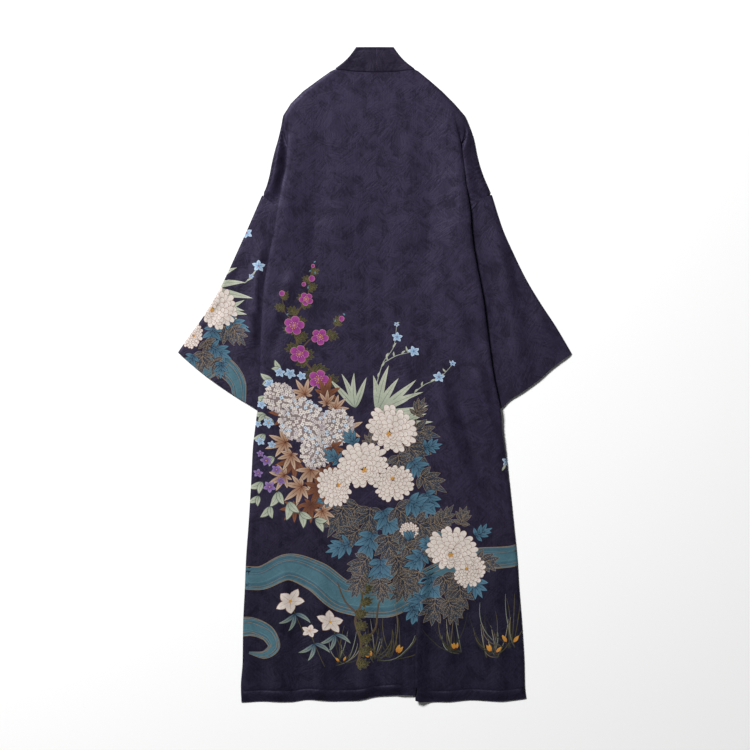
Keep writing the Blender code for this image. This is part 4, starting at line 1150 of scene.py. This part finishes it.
def back_print():
    """The garden on the back: water, leaves, blooms and grasses of a common kind, laid out for this robe."""
    p = Print(41)
    p.water([(-262, -352), (-205, -356), (-150, -336), (-104, -352), (-52, -388), (14, -396), (74, -372),
             (128, -344), (184, -322), (236, -318), (290, -296)], (20, 21, 27, 30, 27, 22, 19, 18))
    p.water([(-20, -372), (24, -340), (38, -302), (78, -276), (116, -286), (136, -316)], (3, 15, 17, 15, 10, 2))
    p.water([(-262, -448), (-222, -440), (-188, -452), (-176, -474), (-196, -490), (-220, -486)], (16, 17, 14, 9, 2))
    for base, count, height, lean in (((206, -492), 14, 78, 0), ((142, -486), 13, 64, 8), ((236, -476), 10, 88, 10),
                                      ((-6, -500), 14, 66, -6), ((34, -494), 12, 84, 10), ((-58, -506), 12, 54, -14)):
        p.grass(base, count, height, lean)
    stem = p.twig([(-30, -508), (-24, -470), (-34, -430), (-22, -392), (-30, -350)], (6, 5, 4, 3))
    p.twig([(-24, -470), (2, -440), (6, -404), (24, -372)], (4.5, 3.5, 2.5))
    p.twig([(-28, -420), (-52, -396), (-66, -362)], (4, 3, 2))
    for k in range(0, len(stem), 4):
        p.garden_leaf(stem[k], 20 + 140 * (k % 2), 22, "olive")

    # The plum branch at the upper left.
    branch = p.twig([(-64, -58), (-92, -12), (-132, 40), (-140, 92), (-116, 142), (-110, 188)],
                    (5, 4.2, 3.4, 2.6, 1.4), BARK, OLIVE)
    p.twig([(-132, 40), (-112, 62), (-84, 72), (-56, 96)], (2.8, 2.0, 1.0), BARK, OLIVE)
    p.twig([(-140, 92), (-158, 112), (-162, 140)], (2.2, 1.6, 0.9), BARK, OLIVE)
    for k, (x, y) in enumerate(branch[6::2]):
        side = 1 if k % 2 else -1
        p.garden_leaf((x, y), 90 + side * (58 + 14 * (k % 3)), 30 - k * 1.1, "olive")
    for x, y, angle, size in ((-84, 72, -20, 22), (-66, 86, 80, 20), (-158, 116, 170, 18), (-160, 132, 60, 15)):
        p.garden_leaf((x, y), angle, size, "olive")
    for x, y, radius in ((-132, 36, 16.5), (-141, 86, 17.5), (-96, 66, 15), (-120, 132, 12), (-98, -8, 17.5)):
        p.plum_blossom((x, y), radius)
    for x, y, radius in ((-58, 98, 5), (-110, 168, 5.5), (-162, 142, 5), (-108, 190, 3.5), (-124, 158, 4)):
        p.disc((x, y), radius, MAGENTA_LINE)
        p.disc((x, y), radius - 0.7, MAGENTA, MAGENTA_DEEP)
    for x, y in ((-104, 176), (-115, 180), (-107, 196), (-117, 150), (-70, 92), (-52, 104), (-154, 104)):
        p.blade((x, y), p.random.uniform(0, 180), 5, 2.6, (TEAL, WATER_LIGHT))

    # Bamboo blades behind the blooms.
    p.bamboo((4, -66), (96, 76, 58, 40, 24, 8), 84, 13)
    p.bamboo((-34, -58), (132, 112, 92, 70), 66, 10)
    p.bamboo((46, -86), (44, 22, 4, -12), 56, 9)

    # Fine sprays of bellflowers on the plain ground.
    for points in ([(2, -20), (14, 20), (34, 52), (38, 84)], [(14, 20), (40, 34), (66, 40)],
                   [(60, -40), (86, -18), (112, -6), (136, 18)]):
        line = p.twig(points, (1.6, 1.2, 0.6), SAGE_DEEP, SAGE)
        for k in range(3, len(line), 4):
            p.blade(line[k], p.random.uniform(20, 160), p.random.uniform(8, 13), 3.2, (SAGE_DEEP, SAGE), 0.1)
    for x, y, radius in ((39, 66, 10), (68, 41, 11), (112, -4, 11), (136, 20, 6), (38, 88, 5)):
        p.bellflower((x, y), radius, heart=ROSE)

    # The leaves under the blooms.
    leaves = (
        ("slate", 52, -118, -40, 44), ("slate", 60, -96, -8, 40), ("slate", 40, -140, -75, 42),
        ("teal", 64, -150, -50, 34), ("slate", 78, -176, -30, 40), ("teal", 88, -206, -62, 34),
        ("slate", -30, -226, -130, 42), ("slate", -8, -232, -95, 48), ("teal", 14, -236, -70, 44),
        ("slate", 36, -232, -42, 48), ("teal", 58, -222, -24, 42), ("slate", -54, -232, -118, 44),
        ("slate", -26, -270, -150, 42), ("teal", -4, -276, -110, 44), ("slate", 22, -280, -84, 46),
        ("slate", 46, -268, -58, 42), ("slate", 70, -256, -30, 44), ("teal", -44, -296, -158, 36),
        ("slate", -12, -318, -128, 40), ("teal", 10, -322, -92, 42), ("slate", 36, -316, -66, 40),
        ("slate", 54, -300, -38, 36), ("slate", 94, -284, -96, 40), ("teal", 84, -312, -130, 36),
        ("slate", 78, -344, -112, 40), ("teal", 98, -352, -84, 42), ("slate", 118, -350, -62, 42),
        ("slate", 140, -352, -40, 38), ("slate", 148, -366, -86, 40), ("teal", 166, -352, -58, 36),
        ("slate", 178, -322, -14, 34), ("teal", 82, -384, -120, 34), ("slate", 106, -390, -94, 40),
        ("slate", 128, -394, -70, 36), ("slate", 60, -366, -140, 34), ("slate", 96, -262, 18, 32),
        ("slate", 112, -262, 50, 30), ("teal", -70, -214, -160, 30), ("slate", 8, -356, -80, 34),
        ("slate", -22, -350, -120, 34), ("slate", 40, -350, -48, 34), ("teal", 62, -404, -76, 30),
    )
    for kind, x, y, angle, size in leaves:
        p.garden_leaf((x, y), angle, size * LEAVES_GROWN, kind)

    # Rust maple leaves, sage leaves and small flowers round the snowball heads.
    for x, y, angle, size, kind in (
        (-86, -36, 70, 34, 0), (-122, -34, 118, 32, 1), (-150, -70, 170, 36, 0), (-156, -118, 196, 36, 1),
        (-140, -150, 230, 38, 0), (-112, -166, 262, 38, 1), (-86, -168, 292, 34, 0), (-52, -96, 20, 32, 1),
        (-96, -196, 250, 40, 0), (-128, -196, 214, 38, 1), (-112, -226, 272, 34, 0), (-70, -60, 40, 28, 1),
        (-158, -176, 205, 34, 1), (-140, -232, 232, 30, 0), (-92, -238, 296, 30, 1),
    ):
        p.maple_leaf((x, y), angle, size, RUSTS[kind])
    for x, y, angle, size in (
        (-178, -10, 150, 24), (-188, -38, 190, 22), (-190, -70, 170, 22), (-192, -104, 200, 22),
        (-176, -144, 190, 22), (-196, -188, 200, 26), (-168, -204, 240, 30), (-150, -222, 262, 32),
        (-182, -230, 226, 26), (-130, -240, 280, 28), (-164, 8, 120, 20), (-202, -212, 210, 22),
        (-104, -252, 300, 26), (-176, -84, 140, 20),
    ):
        p.blade((x, y), angle, size, size * 0.42, (SAGE_DEEP, SAGE), 0.08, line=SAGE_LINE, rib=SAGE_LINE)
        p.blade((x, y), angle + 52, size * 0.8, size * 0.36, (SAGE_DEEP, SAGE), -0.08, line=SAGE_LINE, rib=SAGE_LINE)
    for x, y, radius in ((-184, -16, 11), (-166, 4, 10), (-198, -52, 9), (-186, -84, 11), (-200, -116, 9),
                         (-148, 2, 11), (-172, -48, 9), (-204, -86, 7), (-180, -122, 8), (-128, -2, 9)):
        p.bellflower((x, y), radius)
    for x, y, radius in ((-190, -150, 11), (-172, -166, 10), (-204, -172, 9), (-184, -196, 12), (-164, -186, 8),
                         (-200, -138, 7)):
        p.bellflower((x, y), radius, (VIOLET, VIOLET_LIGHT))
    p.snowball((-166, -40), 27)
    p.snowball((-70, -92), 33, 120)
    p.snowball((-128, -80), 40)
    p.snowball((-104, -136), 27, 20)
    for x, y, angle, size, kind in ((-74, -128, 310, 30, 0), (-146, -140, 240, 30, 1), (-84, -50, 88, 24, 1)):
        p.maple_leaf((x, y), angle, size, RUSTS[kind])

    # The cream blooms.
    for x, y, angle, kind in ((-62, -150, 150, "teal"), (-34, -122, 128, "teal"), (-6, -132, 98, "slate"),
                              (86, -128, 16, "teal"), (70, -70, 60, "slate"), (104, -302, 158, "teal"),
                              (176, -282, 30, "teal"), (150, -262, 74, "slate")):
        p.garden_leaf((x, y), angle, 34, kind)
    p.chrysanthemum((60, -272), 17, 80, heart=False)
    for k in range(4):
        p.blade((60, -290), 60 + 20 * k, 18, 7, (TEAL_DEEP, TEAL), line=TEAL_LINE)
    for x, y, radius, lean in ((30, -94, 46, 60), (34, -190, 37, -70), (-72, -196, 36, 200), (-22, -156, 47, 110),
                               (166, -344, 31, -40), (134, -304, 45, 80)):
        p.chrysanthemum((x, y), radius, lean)

    # Cream bellflowers low at the left.
    for x, y, radius, lean in ((-148, -396, 27, 120), (-78, -432, 25, 60), (-114, -448, 15, 90)):
        p.twig([(x, y), (x + 10, y - 26), (x + 26, y - 62)], (2.2, 1.6, 1.0), OLIVE_DEEP, OLIVE)
        for angle in (-150, -110, -30):
            p.blade((x + 8, y - 22), angle, 32, 7, (TEAL_DEEP, SAGE_DEEP), 0.1, line=TEAL_LINE, rib=TEAL_LINE)
        p.bellflower((x, y), radius, (CREAM_SHADE, CREAM), CREAM_LINE, lean=lean, squash=0.76)
    p.bellflower((232, -152), 11)
    p.blade((222, -168), 60, 16, 4, (SAGE_DEEP, SAGE))
    return p.shapes


def sleeve_print():
    """The print on the left sleeve, of the same kind."""
    p = Print(97)
    p.water([(-330, -30), (-300, 6), (-276, 18), (-254, 6), (-238, -22), (-236, -60)], (12, 17, 19, 17, 13, 10))
    p.bamboo((-306, 150), (30, 8, -10, -26, -42), 92, 14)
    p.bamboo((-286, 112), (18, -6, -24), 70, 11)
    for kind, x, y, angle, size in (
        ("slate", -268, 92, -66, 46), ("teal", -256, 96, -34, 42), ("slate", -250, 84, -50, 40),
        ("teal", -282, 84, -100, 40), ("slate", -296, 60, -60, 40), ("teal", -286, 48, -30, 42),
        ("slate", -300, 40, -90, 42), ("teal", -316, 34, -120, 34), ("slate", -282, 26, -58, 40),
        ("teal", -268, 22, -96, 30),
    ):
        p.garden_leaf((x, y), angle, size, kind)
    p.chrysanthemum((-276, 118), 40, 30)
    p.chrysanthemum((-322, 70), 25, 160)
    for points in ([(-262, 222), (-242, 232), (-226, 246)], [(-228, 160), (-214, 172), (-204, 188)]):
        line = p.twig(points, (1.5, 1.0, 0.6), SAGE_DEEP, SAGE)
        for k in range(2, len(line), 4):
            p.blade(line[k], p.random.uniform(10, 140), p.random.uniform(8, 13), 3, (SAGE_DEEP, SAGE), 0.1)
    for x, y, radius in ((-224, 248, 11), (-203, 190, 12), (-244, 232, 5), (-216, 172, 5)):
        p.bellflower((x, y), radius, heart=ROSE)
    return p.shapes


# Materials.

class Nodes:
    """Short calls for the nodes of one material."""

    def __init__(self, name):
        self.material = bpy.data.materials.new(name)
        self.material.use_nodes = True
        self.tree = self.material.node_tree
        self.shader = self.tree.nodes["Principled BSDF"]

    def add(self, kind, **settings):
        node = self.tree.nodes.new(kind)
        for key, value in settings.items():
            setattr(node, key, value)
        return node

    def put(self, socket, value):
        if hasattr(value, "is_linked"):
            self.tree.links.new(value, socket)
        else:
            socket.default_value = value

    def math(self, operation, a, b=0.0, c=0.0, clamp=False):
        node = self.add("ShaderNodeMath", operation=operation, use_clamp=clamp)
        for socket, value in zip(node.inputs, (a, b, c)):
            self.put(socket, value)
        return node.outputs[0]

    def vector(self, operation, a, b=(0.0, 0.0, 0.0), scale=None):
        node = self.add("ShaderNodeVectorMath", operation=operation)
        self.put(node.inputs[0], a)
        self.put(node.inputs[1], b)
        if scale is not None:
            self.put(node.inputs["Scale"], scale)
        return node.outputs["Vector"]

    def ramp(self, value, low, high):
        node = self.add("ShaderNodeMapRange", interpolation_type="SMOOTHSTEP")
        for socket, setting in zip(node.inputs, (value, low, high, 0.0, 1.0)):
            self.put(socket, setting)
        return node.outputs["Result"]

    def mix(self, share, a, b):
        node = self.add("ShaderNodeMix", data_type="RGBA")
        self.put(node.inputs["Factor"], share)
        self.put(node.inputs["A"], a)
        self.put(node.inputs["B"], b)
        return node.outputs["Result"]

    def noise(self, vector, scale, detail=2.0, roughness=0.5, distortion=0.0):
        node = self.add("ShaderNodeTexNoise")
        self.put(node.inputs["Vector"], vector)
        for key, value in (("Scale", scale), ("Detail", detail), ("Roughness", roughness), ("Distortion", distortion)):
            node.inputs[key].default_value = value
        return node.outputs["Fac"]

    def bump(self, height, distance, strength=1.0, normal=None):
        node = self.add("ShaderNodeBump")
        node.inputs["Strength"].default_value = strength
        node.inputs["Distance"].default_value = distance
        self.put(node.inputs["Height"], height)
        if normal is not None:
            self.put(node.inputs["Normal"], normal)
        return node.outputs["Normal"]


# Brush strokes woven into the satin: their spacing, slant, seed, how much the slant varies, and their weight.
LIGHT_STROKES = ((56.0, -0.80, 1.0, 0.5, 1.0), (34.0, 0.7, 2.0, 1.2, 1.0), (27.0, -0.9, 4.0, 1.6, 0.8))
DARK_STROKES = ((42.0, -0.7, 3.0, 0.9, 0.8), (30.0, 0.8, 5.0, 0.9, 0.8))
STROKE_HALF, STROKE_TAPER = 0.37, -0.85  # half a stroke's width in its middle, and how it narrows, in spacings
STROKES_LEFT_OUT = 0.06
HAIRS_PER_MM = 0.34

def strokes(n, place, cell, turn, seed, spread):
    """A layer of brush strokes, 0 to 1; place and cell are in millimetres."""
    shifted = n.vector("ADD", place, (seed * 37.0, seed * 91.0, 0.0))
    scaled = n.vector("SCALE", shifted, scale=1.0 / cell)
    cells = n.add("ShaderNodeTexVoronoi", voronoi_dimensions="2D", feature="F1")
    cells.inputs["Scale"].default_value = 1.0
    cells.inputs["Randomness"].default_value = 0.85
    n.put(cells.inputs["Vector"], scaled)
    away = n.vector("SUBTRACT", scaled, cells.outputs["Position"])
    split = n.add("ShaderNodeSeparateColor")
    n.put(split.inputs["Color"], cells.outputs["Color"])
    rotate = n.add("ShaderNodeVectorRotate", rotation_type="Z_AXIS")
    n.put(rotate.inputs["Vector"], away)
    n.put(rotate.inputs["Angle"], n.math("MULTIPLY_ADD", split.outputs["Red"], spread, turn - spread / 2))
    local = n.add("ShaderNodeSeparateXYZ")
    n.put(local.inputs["Vector"], rotate.outputs["Vector"])
    x = local.outputs["X"]
    curl = n.math("MULTIPLY", n.math("MULTIPLY", x, x), n.math("MULTIPLY_ADD", split.outputs["Blue"], 0.24, -0.12))
    y = n.math("ADD", local.outputs["Y"], curl)
    hair = n.add("ShaderNodeCombineXYZ")
    n.put(hair.inputs["X"], n.math("MULTIPLY", x, cell * 0.05))
    n.put(hair.inputs["Y"], n.math("MULTIPLY", y, cell * HAIRS_PER_MM))
    n.put(hair.inputs["Z"], n.math("MULTIPLY", split.outputs["Green"], 40.0))
    hairs = n.noise(hair.outputs["Vector"], 1.0, 2.0, 0.6)
    taper = n.math("MULTIPLY_ADD", n.math("MULTIPLY", x, x), STROKE_TAPER, STROKE_HALF)
    inside = n.math("SUBTRACT", taper, n.math("ABSOLUTE", y))
    inside = n.math("ADD", inside, n.math("MULTIPLY_ADD", hairs, 0.34, -0.19))
    shown = n.ramp(split.outputs["Green"], STROKES_LEFT_OUT, STROKES_LEFT_OUT + 0.05)
    mask = n.math("MULTIPLY", n.ramp(inside, 0.0, 0.16), shown)
    return n.math("MULTIPLY", mask, n.math("MULTIPLY_ADD", n.ramp(hairs, 0.43, 0.55), 0.80, 0.20))


def strongest(n, place, layers):
    """The strongest of several layers of strokes."""
    best = None
    for cell, turn, seed, spread, weight in layers:
        layer = n.math("MULTIPLY", strokes(n, place, cell, turn, seed, spread), weight)
        best = layer if best is None else n.math("MAXIMUM", best, layer)
    return best

SATIN, SATIN_PAINTED_SHADE = (58, 51, 76), (41, 38, 59)  # the robe's colour, and a darker copy of it painted towards the hem as shade, where the light falls off
SATIN_TINT, SHEEN_TINT = (0.72, 0.64, 1.0, 1.0), (0.62, 0.56, 0.78, 1.0)
SHADE_LEAST = 0.24
SHADE = 0.35  # the cloth's own colour, under what the satin reflects
INK = 0.74  # the print's colours, under the studio's light


def satin(name, turn=0.0, tone=1.0, warm=0.0, rough=0.54):
    """Dark jacquard satin with its print, turned to the piece's own grain, with painted shade that darkens it towards
    the hem.
    """
    n = Nodes(name)
    coordinates = n.add("ShaderNodeTexCoord").outputs["Object"]
    place = n.vector("SCALE", coordinates, scale=1000.0)
    if turn:
        rotate = n.add("ShaderNodeVectorRotate", rotation_type="Z_AXIS")
        n.put(rotate.inputs["Vector"], place)
        rotate.inputs["Angle"].default_value = turn
        place = rotate.outputs["Vector"]
    height = n.add("ShaderNodeSeparateXYZ")
    n.put(height.inputs["Vector"], coordinates)
    # painted shade: the cloth's colour runs from its upper colour to a darker one towards the hem, standing in for the
    # light falling off there
    low = n.ramp(height.outputs["Y"], -0.18, -0.38)
    upper, lower = (tuple(c * tone * SHADE for c in linear((red + warm, green, blue))) + (1.0,)
                    for red, green, blue in (SATIN, SATIN_PAINTED_SHADE))
    ground = n.mix(low, upper, lower)
    feathers = n.math("SUBTRACT", strongest(n, place, LIGHT_STROKES), strongest(n, place, DARK_STROKES))
    slubs = n.noise(n.vector("MULTIPLY", place, (0.55, 0.018, 1.0)), 1.0, 2.0)
    bands = n.noise(n.vector("MULTIPLY", place, (0.07, 0.005, 1.0)), 1.0, 1.0)
    grain = n.noise(n.vector("MULTIPLY", place, (0.46, 0.22, 1.0)), 1.0, 3.0, 0.7, 0.4)
    dabs = n.ramp(n.noise(n.vector("MULTIPLY", place, (0.20, 0.13, 1.0)), 1.0, 4.0, 0.66, 1.4), 0.34, 0.66)
    shade = SHADE_LEAST
    for layer, share in ((feathers, 0.29), (slubs, 0.34), (grain, 0.78), (dabs, 0.08), (bands, 0.24)):
        shade = n.math("MULTIPLY_ADD", layer, share, shade)
    cloth = n.vector("SCALE", ground, scale=shade)
    ink = n.add("ShaderNodeAttribute", attribute_type="GEOMETRY", attribute_name="ink")
    mottle = n.math("MULTIPLY_ADD", n.noise(place, 0.22, 3.0, 0.6), 0.34 * INK, 0.78 * INK)
    mottle = n.math("MULTIPLY", mottle, n.math("MULTIPLY_ADD", feathers, 0.08, 0.96))
    printed = n.vector("SCALE", ink.outputs["Color"], scale=mottle)
    n.put(n.shader.inputs["Base Color"], n.mix(ink.outputs["Alpha"], cloth, printed))
    roughness = n.math("MULTIPLY_ADD", feathers, -0.05, rough + 0.01)
    roughness = n.math("ADD", roughness, n.math("MULTIPLY_ADD", slubs, 0.10, -0.05))
    n.put(n.shader.inputs["Roughness"], roughness)
    n.put(n.shader.inputs["Specular IOR Level"], n.math("MULTIPLY_ADD", shade, 0.26, -0.02, clamp=True))
    n.shader.inputs["Specular Tint"].default_value = SATIN_TINT
    n.shader.inputs["Sheen Weight"].default_value = 0.03
    n.shader.inputs["Sheen Roughness"].default_value = 0.45
    n.shader.inputs["Sheen Tint"].default_value = SHEEN_TINT
    soft = n.noise(n.vector("MULTIPLY", place, (0.020, 0.010, 0.0)), 1.0, 1.0, 0.5, 0.2)
    normal = n.bump(soft, 0.0018, 0.6)
    normal = n.bump(feathers, 0.00013, 0.8, normal)
    weave = n.noise(n.vector("MULTIPLY", place, (1.3, 0.5, 0.0)), 1.0, 2.0)
    normal = n.bump(n.math("MULTIPLY_ADD", weave, 0.6, n.math("MULTIPLY", slubs, 0.6)), 0.00022, 0.8, normal)
    n.put(n.shader.inputs["Normal"], normal)
    return n.material


def sheet_shapes(shapes):
    """The print's shapes moved from the plan into the back's flat sheet."""
    moved = []
    for shape in shapes:
        points = shape["points"]
        flat = np.column_stack([to_sheet(points[:, 0], points[:, 1]), points[:, 1]])
        moved.append(dict(shape, points=flat))
    return moved


def sew_back():
    shell = Shell()
    shell.cloth(back_form, back_outline(), back_points(), sheet_shapes(back_print()), plan=back_plan,
                under=back_points(12.0))
    return shell.build("back_cloth", satin("back_satin"), "back")


def sew_sleeve(side, shapes):
    outer, under = sleeve_lines(side)

    def joined(ring):
        x, y = ring[:, 0], ring[:, 1]
        return np.minimum(distance_to_line(x, y, outer), distance_to_line(x, y, under)) < 0.02

    shell = Shell()
    points = sleeve_points(side)
    ring = shell.cloth(sleeve_form(side, True), sleeve_outline(side), points, shapes, joined=joined)
    shell.cloth(sleeve_form(side, False), ring, points, facing=-1.0, joined=joined)
    turn = math.radians(28.0 if side == "left" else -28.0)
    return shell.build("sleeve_%s_cloth" % side, satin("sleeve_%s_satin" % side, turn, 0.94), "sleeve_" + side)


def sew_front(side):
    """A front lies flat under the back, beside the collar's front run."""
    sign = SIGN[side]
    shoulder = SHOULDERS[side]
    inner = COLLAR_RUN_X[1] + 0.3
    outline = [(inner, COLLAR_STRAIGHT_Y), (COLLAR_FOLD_LOW[0] + 1.6, COLLAR_FOLD_LOW[1] - 4.5)]
    outline += [(abs(x) - 1.0, y - 0.6) for x, y in shoulder[2:]]
    outline += [(abs(x) - 1.2, y + 1.5) for x, y in armhole_curve(side)[2:7]]
    outline += [(abs(side_x(side, y)) - 3.0, y) for y in (280.0, 262.0, 246.0, 200.0, 138.0, 64.0, 5.0, -60.0)]
    outline += [(abs(side_x(side, y)) - 1.2, y) for y in (-128.0, -188.0, -254.0, -324.0, -436.0, -503.0, -540.0)]
    outline += [(abs(side_x(side, -545.0)) - 1.2, FRONT_HEM_Y), (inner, FRONT_HEM_Y)]
    ring = [(float(sign * x), float(y)) for x, y in resample(outline + outline[:1], 12.0)[:-1]]
    ring = ring if side == "left" else ring[::-1]
    points = [(sign * x, float(y)) for x in np.arange(92.0, 250.0, 16.0) for y in np.arange(-540.0, 500.0, 16.0)]
    shell = Shell()
    shell.cloth(lambda flat: np.column_stack([flat, np.full(len(flat), 0.4)]), ring, points)
    return shell.build("front_%s_cloth" % side, satin("front_%s_satin" % side, 0.0, 0.9), "front_" + side)


COLLAR_HALF = 0.75  # half the thickness of the doubled collar band
COLLAR_LAYER = 0.48  # from the middle of the band to the middle of either layer
COLLAR_MIDDLE_Z = 4.0
COLLAR_BOW = np.array([2.4, 2.0])  # how far a slanted side bows in towards the neck
COLLAR_GROOVE = (0.45, 4.6, 1.3)  # its stitched line's depth, distance from the top edge and half width
COLLAR_SEAM_DROP, COLLAR_SEAM_ROLL = 0.9, 3.0
CENTRE_SEAM_DEPTH, CENTRE_SEAM_HALF, COLLAR_TOP_HALF = 0.12, 0.9, 31.0
COLLAR_WAVE = 0.16
COLLAR_TONES = {"left": (0.50, 0.0), "right": (0.60, 3.0)}  # how light each half is, and how warm


def sew_collar(side):
    """Half of the doubled collar band: up from the neck seam, over at the side and down the front to the hem."""
    sign = SIGN[side]
    across = np.concatenate([[0.0, 0.03, 0.07, 0.11, 0.16], np.linspace(0.24, 0.9, 9), [0.94, 0.97, 1.0]])[:, None]
    neck = np.concatenate([SHOULDER_LEFT[:7][::-1], NECK_SEAM[1:-1], SHOULDER_RIGHT[:7]])
    centre = CENTRE_SEAM_X * sign + 0.02
    sections = []
    for share in np.concatenate([[0.0, 0.012, 0.03, 0.06], np.linspace(0.1, 1.0, 19)]):
        top = np.array([centre + (COLLAR_RUN_X[0] - 1.6 - centre) * share, COLLAR_TOP_Y - 0.8])
        low_x = centre + (COLLAR_FOLD_LOW[0] - 1.2 - centre) * share
        low = np.array([low_x, np.interp(sign * low_x, neck[:, 0], neck[:, 1]) + 0.3 + 0.3 * share])
        plan = top + (low - top) * across - COLLAR_BOW * share ** 3 * np.sin(np.pi * across)
        down = across[:, 0] * np.linalg.norm(low - top)
        up = np.linalg.norm(low - top) - down
        z = np.full(len(across), COLLAR_MIDDLE_Z)
        fade = smooth_step((1.0 - share) / 0.2)
        groove, at, half = COLLAR_GROOVE
        z -= groove * np.exp(-(((down - at) / half) ** 2)) * fade
        z -= COLLAR_SEAM_DROP * (1.0 - quarter_round(up / COLLAR_SEAM_ROLL)) * fade
        z -= CENTRE_SEAM_DEPTH * np.exp(-((share * COLLAR_TOP_HALF / CENTRE_SEAM_HALF) ** 2))
        z += COLLAR_WAVE * np.sin(plan[:, 0] * 0.16 + plan[:, 1] * 0.11) * fade
        sections.append(np.column_stack([plan, z]))
    last = sections[-1].copy()
    radius = (COLLAR_MIDDLE_Z - 0.8) / 2
    outward = np.array([(0.98, 0.0), (0.80, 0.55), (0.72, 0.70), (0.72, 0.70)])
    outward = np.column_stack([np.interp(across[:, 0], (0.0, 0.33, 0.67, 1.0), outward[:, k]) for k in range(2)])
    for angle in np.linspace(20.0, 180.0, 9):
        turn = math.radians(angle)
        ring = last.copy()
        ring[:, :2] += outward * radius * math.sin(turn)
        ring[:, 2] = 0.8 + (last[:, 2] - 0.8) * (1 + math.cos(turn)) / 2
        sections.append(ring)
    edge_x = COLLAR_RUN_X[0] + (COLLAR_RUN_X[1] - COLLAR_RUN_X[0]) * across[:, 0]
    for y in np.concatenate([[COLLAR_STRAIGHT_Y], np.linspace(484.0, FRONT_HEM_Y, 40)]):
        sections.append(np.column_stack([edge_x, np.full(len(across), y), np.full(len(across), 0.8)]))
    middle = np.array(sections)
    middle[:, :, 0] *= sign
    normal = unit(np.cross(np.gradient(middle, axis=1), np.gradient(middle, axis=0)) * sign)
    inward = unit(np.gradient(middle, axis=1))
    # The path of the folded cloth: its upper layer, round the fold, and its lower layer.
    path = [(middle[:, k], normal[:, k]) for k in range(len(across) - 1, -1, -1)]
    for angle in (45.0, 90.0, 135.0):
        turn = math.radians(angle)
        path.append((middle[:, 0], normal[:, 0] * math.cos(turn) - inward[:, 0] * math.sin(turn)))
    path += [(middle[:, k], -normal[:, k]) for k in range(len(across))]
    line = np.stack([place + away * COLLAR_LAYER for place, away in path], axis=1)
    away = np.stack([away for _, away in path], axis=1)
    rows, count = line.shape[:2]
    outer, inner = line + away * (COLLAR_HALF - COLLAR_LAYER), line - away * COLLAR_LAYER * 0.4
    points = np.concatenate([outer.reshape(-1, 3), inner.reshape(-1, 3)])
    normals = np.concatenate([away.reshape(-1, 3), -away.reshape(-1, 3)])
    total = rows * count
    faces = []
    for row in range(rows - 1):
        for k in range(count - 1):
            a = row * count + k
            faces.append((a, a + count, a + count + 1, a + 1))
            faces.append((a + total, a + total + 1, a + total + count + 1, a + total + count))
        for a, b in ((row * count, (row + 1) * count), ((row + 2) * count - 1, (row + 1) * count - 1)):
            faces.append((b, a, a + total, b + total))
    for row, step in ((0, 1), (rows - 1, -1)):
        for k in range(count - 1):
            a, b = row * count + k, row * count + k + 1
            a, b = (a, b) if step > 0 else (b, a)
            faces.append((a, b, b + total, a + total))
    if sign < 0:
        faces = [face[::-1] for face in faces]
    shell = Shell()
    shell.add(points, normals, faces)
    tone, warm = COLLAR_TONES[side]
    return shell.build("collar_%s_cloth" % side, satin("collar_%s_satin" % side, math.radians(90.0), tone, warm, 0.55),
                       "collar_" + side)



back = sew_back()
sleeve_left = sew_sleeve("left", sleeve_print())
sleeve_right = sew_sleeve("right", ())
front_left, front_right = sew_front("left"), sew_front("right")
collar_left, collar_right = sew_collar("left"), sew_collar("right")


# Stage, light and camera.

def plane(name, size, z, colour):
    half = size / 2
    mesh = bpy.data.meshes.new(name)
    mesh.from_pydata([(-half, -half, z), (half, -half, z), (half, half, z), (-half, half, z)], [], [(0, 1, 2, 3)])
    n = Nodes(name + "_paint")
    paper = n.noise(n.add("ShaderNodeTexCoord").outputs["Object"], 3.0)
    shade = n.math("MULTIPLY_ADD", paper, 0.01, 0.995)
    n.put(n.shader.inputs["Base Color"], n.vector("SCALE", colour, scale=shade))
    n.shader.inputs["Roughness"].default_value = 0.95
    n.shader.inputs["Specular IOR Level"].default_value = 0.1
    mesh.materials.append(n.material)
    thing = bpy.data.objects.new(name, mesh)
    bpy.context.scene.collection.objects.link(thing)
    return thing


def lamp(name, place, aim, size, power):
    light = bpy.data.lights.new(name, "AREA")
    light.shape, light.size, light.energy = "DISK", size, power
    thing = bpy.data.objects.new(name, light)
    thing.location = place
    thing.rotation_euler = (Vector(aim) - Vector(place)).to_track_quat("-Z", "Y").to_euler()
    bpy.context.scene.collection.objects.link(thing)
    return thing


plane("floor", 12.0, -0.0002, (0.88, 0.88, 0.88))
lamp("key", (-2.3, 3.0, 3.7), (0.0, 0.0, 0.0), 1.5, 452.0)
lamp("fill", (1.6, -1.8, 3.0), (0.0, -0.1, 0.0), 2.0, 8.0)
world = bpy.data.worlds.new("studio")
world.use_nodes = True
world.node_tree.nodes["Background"].inputs["Color"].default_value = (1.0, 1.0, 1.0, 1.0)
world.node_tree.nodes["Background"].inputs["Strength"].default_value = 0.06
bpy.context.scene.world = world
bpy.context.scene.view_settings.view_transform = "Standard"
bpy.context.scene.view_settings.look = "None"

camera = bpy.data.objects.new("camera", bpy.data.cameras.new("camera"))
camera.data.sensor_width, camera.data.lens = 36.0, 100.0
camera.data.clip_end = 20.0
camera.location = (0.0003, -0.0005, 3.646)
bpy.context.scene.collection.objects.link(camera)
bpy.context.scene.camera = camera
